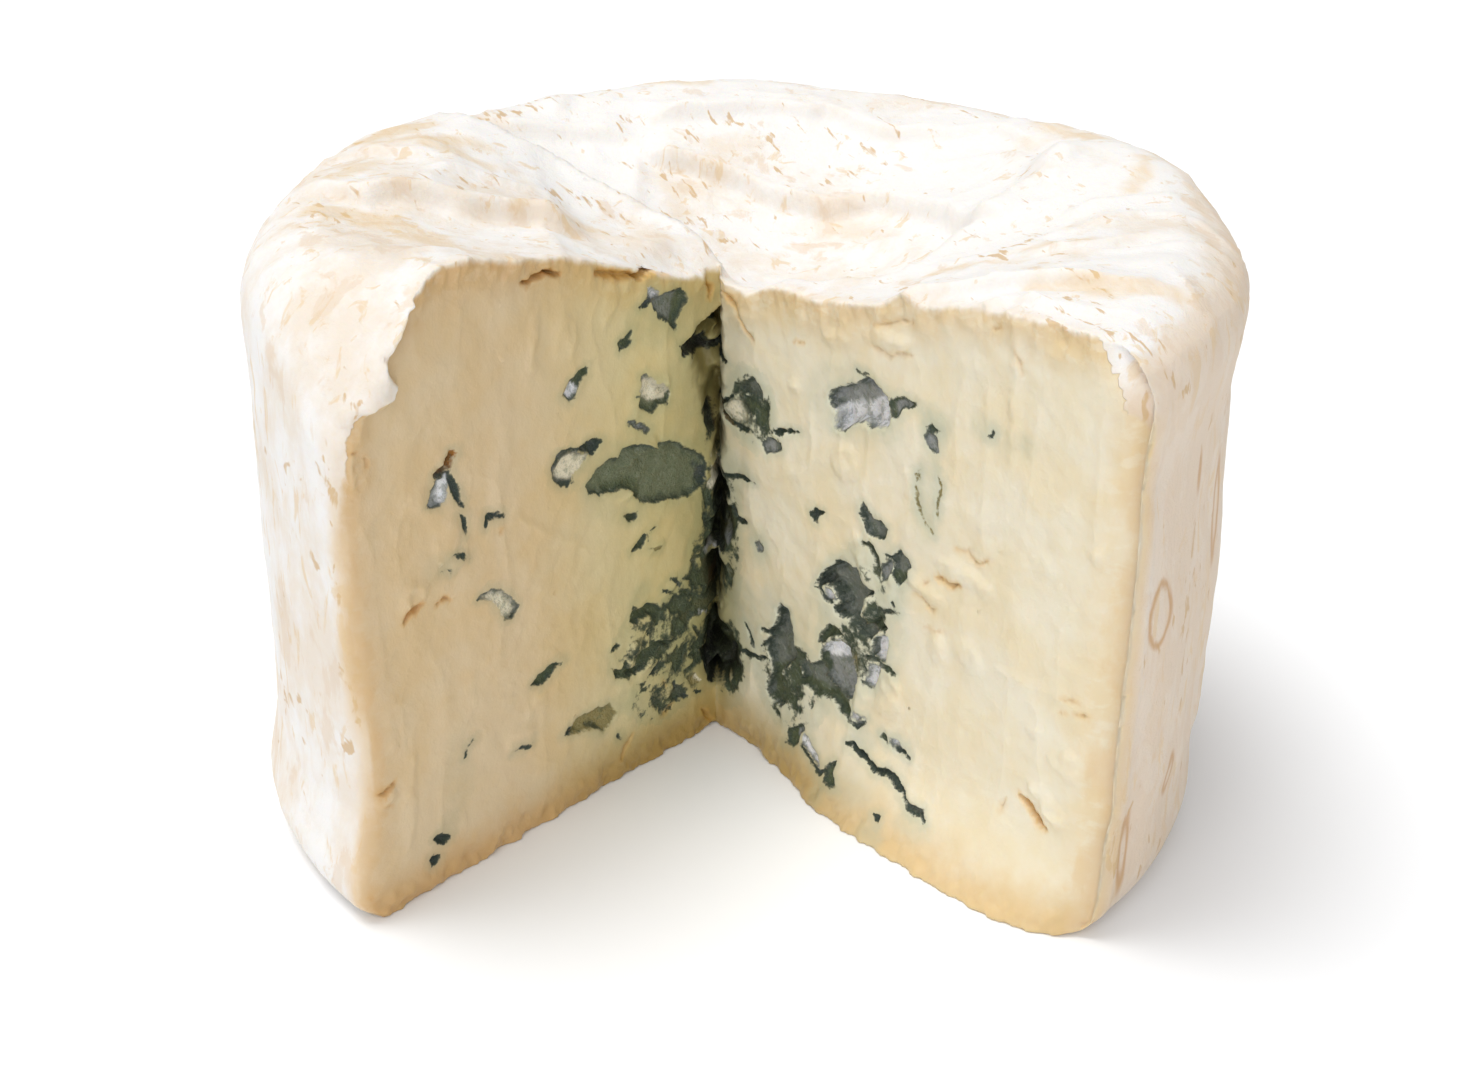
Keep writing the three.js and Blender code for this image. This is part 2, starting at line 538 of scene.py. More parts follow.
# %% [markdown]
# ## What the knife opened
#
# Inside, mould grows only where air gets in, so it lines holes and cracks, and a cut shows them as
# ragged pockets. Their places are given for each cut face in millimetres along the face from the
# apex and up from the base. A pocket is a closed outline with a depth and a lining, a crack or a
# vein is a line with half a width, and stains and lumps are ellipses. An image would do for the
# colours, but these lists shape the holes too. Random wander makes all their edges ragged.

# %% Linings
LININGS = {
    # colour, how dark its rim is drawn
    "slate": ((0.17, 0.185, 0.16), 0.8),
    "green": ((0.085, 0.105, 0.05), 0.6),
    "ink": ((0.05, 0.062, 0.058), 0.9),
    "fuzz": ((0.15, 0.17, 0.1), 0.7),
    # A brownish olive lining: olive mould, and painted shade under raised laps of paste
    "olive_mould_and_shade": ((0.3, 0.25, 0.1), 0.1),
    "moss": ((0.1, 0.1, 0.045), 0.4),
    # A lavender grey lining: grey mould, and painted shade on the upper part of white-lined holes
    "grey_mould_and_shade": ((0.3, 0.31, 0.3), 0.6),
    "white": ((0.84, 0.84, 0.86), 0.3),
    # A dark brown lining: paste painted as deep shade in the crevice
    "shaded_paste": ((0.1, 0.065, 0.022), 0.0),
    # A near-black lining: painted shadow in the crevice's deepest holes
    "pit_shadow": ((0.012, 0.014, 0.008), 0.0),
    "cream": ((0.74, 0.68, 0.52), 0.0),
    "amber": ((0.4, 0.17, 0.03), 0.1),
}

print("linings", len(LININGS))

# %% Marks on the left cut face
# Each outline is a pocket's depth in millimetres, its lining and its corners: how far along the cut
# face from the apex and how far up. A depth of 0 only changes the lining of what it lies on.
LEFT_OUTLINES = [
    (1.2, "slate", ((11, 55.2), (8.5, 55.7), (6.7, 55.3), (5.8, 54.5), (5.7, 53.7), (6.8, 52.9),
                    (7.4, 52.2), (7.1, 50.9), (7.9, 51.5), (8.8, 52.5), (9.8, 53), (10.8, 54))),
    (0, "green", ((7.2, 54.6), (6.4, 55.2), (5.7, 54.5), (5.6, 53.5), (6.9, 52.7), (7, 51), (8.2, 52),
                  (7.6, 53.4))),
    (1.0, "white", ((12.1, 57.3), (11.2, 56.9), (10.1, 56.2), (9.9, 55.6), (11, 55.1), (11.4, 55.9),
                    (11.9, 56.6))),
    (1.1, "green", ((15.9, 52.2), (15, 52.4), (13.9, 53), (14.4, 52.2), (13.9, 51.7), (14.7, 51.2),
                    (15.8, 51.1))),
    (1.2, "green", ((24.4, 48.6), (23.3, 50), (20.9, 50.9), (20.3, 50.8), (20.4, 50.1), (21.9, 49.4),
                    (22.7, 48.2), (23.6, 47.8))),
    (0, "amber", ((24.5, 48.6), (24, 49.9), (23.2, 50.3), (23.4, 49.4))),
    (0, "white", ((23.9, 48.6), (22.9, 49.6), (22, 49.2), (22.7, 48.6), (23.4, 48.1))),
    (1.3, "cream", ((12.9, 46.9), (12.2, 47.5), (11, 46.6), (9.3, 45.3), (8.4, 44.3), (8.7, 43),
                    (10.1, 43.4), (11.2, 42.9), (12.4, 43.6), (13.3, 44.3))),
    (0, "green", ((13.4, 44.6), (12.4, 44.9), (11.2, 44), (9.1, 43.8), (8.5, 44.5), (8.7, 42.9),
                  (10.1, 43.3), (11.2, 42.8), (12.4, 43.5), (13.2, 43.8))),
    (1.3, "ink", ((13, 47.5), (12.1, 47.6), (12, 46.9), (12.8, 46.8))),
    (0.8, "grey_mould_and_shade", ((14.7, 42.9), (13.8, 42.9), (12.6, 42), (11.2, 41.1), (11.8, 40.9), (13.2, 41.4),
                       (14.1, 42.1))),
    (1.5, "fuzz", ((21, 37.9), (20, 38.9), (18.7, 39.4), (17.5, 39.6), (16.5, 39.2), (15.8, 40),
                   (14.2, 40.1), (12, 39.6), (10.2, 39), (8.2, 38.6), (6.6, 38), (5.3, 37), (4, 36),
                   (2.8, 35.3), (2.4, 33.6), (2.2, 31.7), (4.8, 31.2), (8.8, 31.9), (11.2, 32.4),
                   (12.9, 33), (13.3, 33.9), (14.2, 34.4), (15, 35.4), (16.4, 35.8), (18.2, 36.1),
                   (19.4, 36.2), (20.6, 37))),
    (0, "green", ((18.8, 37), (16.5, 37), (14.2, 36.2), (12.4, 34.4), (13.2, 33.6), (15, 35.3), (18.2, 36))),
    (0, "ink", ((4.1, 34.7), (2.4, 33.6), (1.6, 32), (2.2, 31.3), (3.6, 32.7))),
    (1.3, "green", ((15.6, 32.3), (13, 32), (13.4, 31.3), (14.7, 31.3), (15.1, 31.7))),
    (1.2, "green", ((14.4, 27.9), (13.6, 28.4), (12.3, 29.2), (12, 28.7), (12.5, 27.6), (14.2, 27.7))),
    (0.8, "olive_mould_and_shade", ((11.7, 27.2), (9.4, 26.9), (9.6, 26.2), (10.9, 26.5))),
    (1.4, "moss", ((5, 23.1), (3.7, 23.3), (2.7, 23), (3.3, 22.3), (4, 21.5), (4.5, 22.1))),
    (1.6, "green", ((14.6, 20.1), (14, 20.5), (13.1, 20.3), (11.3, 20.3), (10, 19.6), (8.9, 18.7),
                    (9.8, 18), (11.5, 18.5), (12.7, 18.7), (13.5, 18.5), (14.7, 19.1))),
    (1.4, "green", ((17.8, 17.1), (16.8, 17.6), (16.4, 16.7), (17.7, 16.5))),
    (1.8, "green", ((17.5, 14.7), (16.3, 14.1), (15.9, 14), (15.6, 14.7), (15.3, 14.9), (15, 13.8),
                    (14.2, 13.4), (13.4, 13.5), (13.2, 14.6), (12.3, 14.9), (11.4, 15.1), (11, 15.5),
                    (10, 15.1), (9.1, 15), (8.1, 14.4), (6.3, 14), (8.5, 13.9), (9.2, 14.2), (10.4, 14.1),
                    (11.5, 13.4), (12.7, 12.8), (13.8, 12.3), (14.8, 12.5), (16.1, 12.6), (17.1, 13.2),
                    (17.1, 14))),
    (1.6, "moss", ((6.5, 16.8), (5.8, 16.9), (4.1, 16.7), (4.2, 15.9), (4.9, 15.1), (5.8, 15.2), (6.4, 16))),
    (1.6, "olive_mould_and_shade", ((24, 10.2), (22.8, 10.9), (20, 10.8), (17.9, 10.4), (17.2, 9.5), (16.3, 8.8),
                    (18.9, 7.3), (20.4, 8.2), (22, 9), (24.2, 9.3))),
    (0, "moss", ((21.5, 9.3), (20.4, 9), (18.9, 7.2), (20, 8))),
    (1.2, "ink", ((25.2, 9.8), (24.4, 10.4), (23.9, 10.2), (24.6, 9.6))),
    (1.1, "green", ((29.6, 18), (28.6, 18.9), (26.8, 19.2), (25.9, 19.4), (24.8, 18.8), (26.1, 18.7),
                    (27, 17.8), (28.4, 17.3))),
    (1.3, "ink", ((44.1, 6.1), (43.2, 6.3), (42.6, 5.6), (41.7, 5.1), (42.9, 4.9), (43.7, 5.3))),
    (1.3, "ink", ((45, 3.7), (44.4, 4), (43.2, 3.7), (43.4, 3.1), (44.3, 2.9))),
    (2.0, "amber", ((41.6, 46.1), (40.3, 46.8), (39.6, 47.8), (38.4, 47.6), (39.4, 46.2), (40.2, 45.8))),
    (0.9, "grey_mould_and_shade", ((42.6, 43.2), (42.2, 44.8), (41, 45.6), (39.8, 45.4), (39.9, 43.6), (41, 42.6))),
    (0, "white", ((41, 43.2), (40.8, 45.2), (39.9, 45.4), (39.7, 43.8), (40.2, 42.4))),
    (0.8, "cream", ((36.6, 31), (34.8, 31.2), (33, 30.4), (31.4, 28.4), (31.6, 27.4), (32.8, 27),
                    (34, 28.6), (35, 30))),
    (0.5, "cream", ((25.9, 40.8), (25, 42.4), (23, 42.1), (20.9, 41.2), (21.6, 40.4), (23.4, 39.4),
                    (25.2, 39.8))),
    (1.4, "ink", ((22.4, 42.4), (20.4, 42.7), (18.8, 42.4), (19.6, 41.4), (20.6, 40.9), (21.4, 41.6))),
    # The crevice on the left: holes lined near black as painted shadow, paste painted brown as shade, white
    # blades and green shelves
    (1.5, "pit_shadow", ((6.8, 49.6), (5.9, 49), (4.8, 48.7), (3.6, 48.5), (1.3, 47.9), (-0.3, 47.4),
                  (-0.3, 46.7), (2.6, 46.5), (4.9, 46.8), (5, 47.3), (6.2, 47.9))),
    (0, "moss", ((4.9, 46.6), (2.8, 46.4), (2.9, 45), (4.9, 44.8))),
    (0, "slate", ((2.7, 46.1), (1.5, 46.9), (-0.3, 46.6), (-0.3, 44.9))),
    (0, "shaded_paste", ((4.9, 45), (4, 43), (3, 41.6), (3, 40.7), (1.6, 40), (1, 38), (0.6, 36.2), (-0.3, 36),
                   (-0.3, 45.1))),
    (0.8, "pit_shadow", ((3, 40.8), (1.8, 40.1), (1.1, 38.5), (0.8, 37.1), (1.7, 37), (2.4, 38.6))),
    (0, "cream", ((2, 35.4), (0.9, 34.1), (0.2, 32.7), (0.3, 30.7), (1.5, 30.9), (2.2, 31.9), (1.3, 33.1))),
    (0.8, "pit_shadow", ((-0.3, 32.6), (0.9, 30.2), (1.1, 28.5), (0.6, 27.2), (-0.3, 26.8))),
    (1.0, "pit_shadow", ((2.5, 23.4), (1.9, 24.5), (0.8, 25.8), (-0.3, 26.2), (-0.3, 22.6), (1.4, 22.9))),
    (0, "white", ((2.1, 23.2), (0.9, 22.8), (-0.3, 22.2), (-0.3, 21.6), (1.2, 22.1))),
    (0.6, "moss", ((2.8, 22.8), (1.5, 22.3), (1, 21), (0.4, 19), (1.4, 17.6), (2.7, 19.6))),
    (0.8, "pit_shadow", ((1.2, 20), (-0.3, 20.6), (-0.3, 16.8), (0.8, 17.4))),
    (0, "shaded_paste", ((1.3, 19.4), (0.3, 19.2), (0.4, 17), (1.4, 17.4))),
    (0.5, "moss", ((4.2, 17.4), (2.8, 17.8), (0.8, 16.8), (0, 15.2), (2.2, 15.6), (3.6, 16.2))),
    (0, "white", ((3.2, 15.9), (2.2, 15.1), (1.9, 15), (2.6, 15.8))),
    (1.2, "pit_shadow", ((3.1, 11.3), (1.4, 11.2), (-0.3, 11.6), (-0.3, 6), (1.2, 5.9), (2.1, 7.8), (2.6, 9.4))),
    (0, "cream", ((4.1, 8.6), (3.2, 8.2), (2, 7), (2.8, 6.9), (3.8, 7.8))),
    (0.7, "olive_mould_and_shade", ((5.4, 8.6), (4.1, 8.3), (2.8, 7), (4.6, 6.6), (5.2, 7.4))),
]
LEFT_VEINS = [
    # depth, half width, lining, places along and up
    (1.0, 0.4, "ink", ((13, 55), (12, 55.3), (11.3, 55.6), (11.8, 56.4))),
    (0.6, 0.3, "green", ((13.5, 45.4), (12.7, 45.5))),
    (0.7, 0.22, "moss", ((10.8, 46), (10, 45.2), (9.2, 44.6))),
    (0.9, 0.22, "ink", ((3.8, 50.2), (2.8, 49.9), (1.6, 49.8))),
    (1.0, 0.3, "ink", ((22, 42.1), (23.6, 42.5), (25.2, 42.6), (25.8, 41.6), (25.6, 40.4), (24.6, 39.3),
                       (22.8, 38.8))),
    (0.9, 0.34, "ink", ((35.4, 38.4), (34.9, 39.5), (34, 39.2), (32.9, 38.5))),
    (1.0, 0.3, "ink", ((36.8, 30.9), (35, 31.1), (33.3, 30.1), (32.3, 28.9), (31.4, 28), (32.2, 27.1),
                       (33.1, 27.1))),
    (1.2, 0.34, "ink", ((41.4, 45.9), (40, 45.6), (39.3, 44.4), (38.9, 42.8), (38.2, 41.6))),
    (0.9, 0.2, "ink", ((38.8, 41), (38.2, 39.8), (38, 38.6))),
    (0.5, 0.18, "ink", ((40.2, 37), (39, 36.8), (38.4, 36.4), (37.6, 36))),
    (0.5, 0.16, "ink", ((41.4, 35.9), (40.6, 35.8), (40, 35.2))),
    (0.5, 0.14, "ink", ((32.8, 11.2), (31, 11), (29.9, 11.2))),
    (0.5, 0.2, "ink", ((38.9, 15.2), (37.9, 15.3))),
    (0.5, 0.2, "ink", ((39.2, 14.8), (39.5, 13.9))),
    (0.6, 0.18, "green", ((11.7, 29.2), (10.4, 29.3))),
    (0.6, 0.18, "green", ((11.8, 29), (11.6, 28.1))),
    (0.9, 0.28, "green", ((6, 21.3), (4.2, 20.6), (3.2, 19.9))),
    (0.8, 0.2, "ink", ((9.6, 21.1), (8.5, 20.6), (7.4, 20))),
    (0.7, 0.3, "slate", ((14.1, 21), (13.5, 20.6))),
    (0.7, 0.45, "slate", ((7.8, 21.9), (7, 21.4), (6.3, 20.8))),
    (0.8, 0.4, "green", ((6.8, 19.6), (5.4, 19.3), (4.6, 18.4))),
    (0.8, 0.22, "olive_mould_and_shade", ((14.7, 16.9), (13.6, 16.5), (12.4, 16.6))),
    (1.0, 0.36, "ink", ((12.3, 16.5), (11.3, 16.2))),
    (1.2, 0.42, "ink", ((9.4, 12.3), (10.6, 11.7), (11.8, 11))),
    (0.8, 0.25, "green", ((13.7, 9.8), (12.4, 9.7), (11.4, 10))),
    (0.7, 0.2, "green", ((13.5, 10.8), (12.8, 10.3), (11.8, 10.8))),
    (0.8, 0.3, "ink", ((16.6, 5.8), (16.1, 4.9))),
    (0.8, 0.4, "slate", ((7.5, 8.8), (7, 7.6), (6.4, 6.4))),
    (1.0, 0.34, "ink", ((6.4, 6.3), (5.2, 5.6))),
    (0.9, 0.3, "ink", ((4.1, 5.9), (3.1, 5.5))),
    (0.5, 0.2, "moss", ((8.8, 13.4), (8.2, 12.2), (7.4, 11.2))),
    (0.5, 0.3, "moss", ((7, 13.6), (7.2, 12.4), (6.6, 11.4))),
    (0.8, 0.26, "moss", ((4.4, 14.8), (3.6, 13.4), (2.6, 12.6))),
    (0.8, 0.22, "moss", ((5.6, 12.4), (5.2, 11))),
    (0.6, 0.2, "ink", ((1.6, 26.6), (0, 26.4))),
]
LEFT_CRACKS = [
    # depth, half width, places along and up
    (2.6, 0.3, ((29.4, 62), (27.6, 62.3), (26, 62.1), (24, 61.6))),
    (2.4, 0.5, ((13.8, 58.6), (11.4, 58.8), (9.8, 58.3), (7.4, 57.7))),
    (0.9, 0.4, ((19, 60.4), (16.4, 59.6), (13.8, 58.8))),
    (1.2, 0.35, ((2.6, 55.4), (2.1, 54.6), (2.2, 53.2))),
    (1.0, 0.16, ((53.2, 15), (52.2, 15.3), (50.8, 14.9), (49, 15.3))),
    (0.7, 0.16, ((50.1, 13.2), (49.5, 12.9))),
    (0.9, 0.4, ((46.4, 32.2), (45.4, 32.9), (44, 33.3))),
    (0.8, 0.25, ((42, 32.4), (41, 32.6), (40.3, 32.2))),
    (0.6, 0.14, ((51.6, 51.4), (50.6, 51.6))),
    (0.5, 0.3, ((50, 50.8), (49.8, 49.8))),
    (0.6, 0.12, ((33, 37.4), (33.2, 36.9))),
    (0.5, 0.14, ((52.8, 3.6), (52.4, 3.3))),
    (0.5, 0.25, ((16.2, 2.4), (15.6, 3.5), (14.3, 4.8))),
    (0.8, 0.3, ((9.4, 5.4), (7.6, 5.9))),
    (0.6, 0.3, ((3, 3), (1.8, 2), (1.2, 1))),
    (0.6, 0.4, ((9.2, 9.6), (8.9, 9))),
]
LEFT_STAINS = [
    # along, up, half length, half height, lean in degrees, how strong
    (12.5, 51.9, 2.6, 0.7, 0, 0.5),
    (19, 40.6, 4.5, 1.6, 8, 0.6),
    (4.0, 37.4, 1.6, 0.8, 15, 0.7),
    (12.5, 22.2, 1.2, 0.6, 0, 0.6),
    (7.2, 18.8, 2.8, 0.8, 0, 0.6),
    (15, 9.8, 1.6, 0.9, 20, 0.6),
    (41.4, 36.4, 2.0, 1.4, 0, 0.35),
    (40.4, 12, 1.6, 4.5, 0, 0.3),
    (42, 7, 1.6, 1.0, -30, 0.5),
    (20, 7.6, 1.2, 0.6, -30, 0.4),
    (3.4, 28.6, 0.9, 0.5, 0, 0.7),
    (5.0, 15.0, 6.0, 6.5, 0, 0.75),
    (3.6, 28.9, 3.4, 3.2, 0, 0.5),
    (2.0, 24.0, 3.0, 8.0, 0, 0.6),
    (8.0, 53.5, 7.0, 3.0, 0, 0.45),
    (8.0, 43.5, 6.0, 4.0, 0, 0.35),
    (4.0, 46.0, 3.0, 6.0, 0, 0.5),
    (10.0, 36.0, 12.0, 5.5, 10, 0.4),
]
LEFT_LUMPS = [
    # along, up, half length, half height, lean, height
    (44.0, 44.6, 1.0, 1.2, 20, 0.4),
    (40.6, 38.8, 1.5, 2.0, 20, 0.35),
    (39.2, 36.2, 1.2, 0.8, 0, 0.4),
    (45.2, 34.6, 1.6, 1.6, 0, 0.35),
    (28.0, 55.6, 0.9, 2.4, 8, 0.45),
    (23.6, 55.2, 1.8, 2.6, 8, 0.3),
    (17.2, 57.0, 0.9, 1.9, 15, 0.5),
    (33.6, 29.2, 0.9, 1.5, -30, 0.3),
    (9.9, 45.3, 1.4, 0.8, -30, 0.6),
    (14.2, 15.4, 0.8, 2.6, 28, 0.7),
    (8.2, 15.0, 0.9, 1.6, 50, 0.6),
    (12.5, 17.6, 2.0, 0.5, 0, 0.4),
    (11, 13, 1.6, 0.6, -15, 0.5),
    (8.2, 20.8, 1.4, 0.35, -30, 0.7),
    (6.3, 15.2, 0.5, 0.9, 30, 0.6),
    (13.3, 38.9, 2.6, 0.42, -14, 1.3),
    (14.4, 35.0, 1.8, 0.5, -20, 0.5),
    (10.2, 26.9, 1.3, 0.3, -8, 0.6),
    (3.0, 49.2, 1.7, 0.4, -8, 1.4),
    (50.4, 14.2, 1.4, 1.0, 0, 0.4),
    (47.0, 13.0, 0.6, 5.0, 5, 0.4),
    (28.4, 15.4, 2.6, 1.0, -20, 0.25),
    (31.4, 12.2, 2.0, 1.4, 0, 0.3),
    (26, 34, 6.0, 0.5, 35, 0.2),
    (33, 44, 1.0, 6.0, 12, 0.2),
]
print("marks on the left", len(LEFT_OUTLINES), "outlines and", len(LEFT_VEINS), "veins")

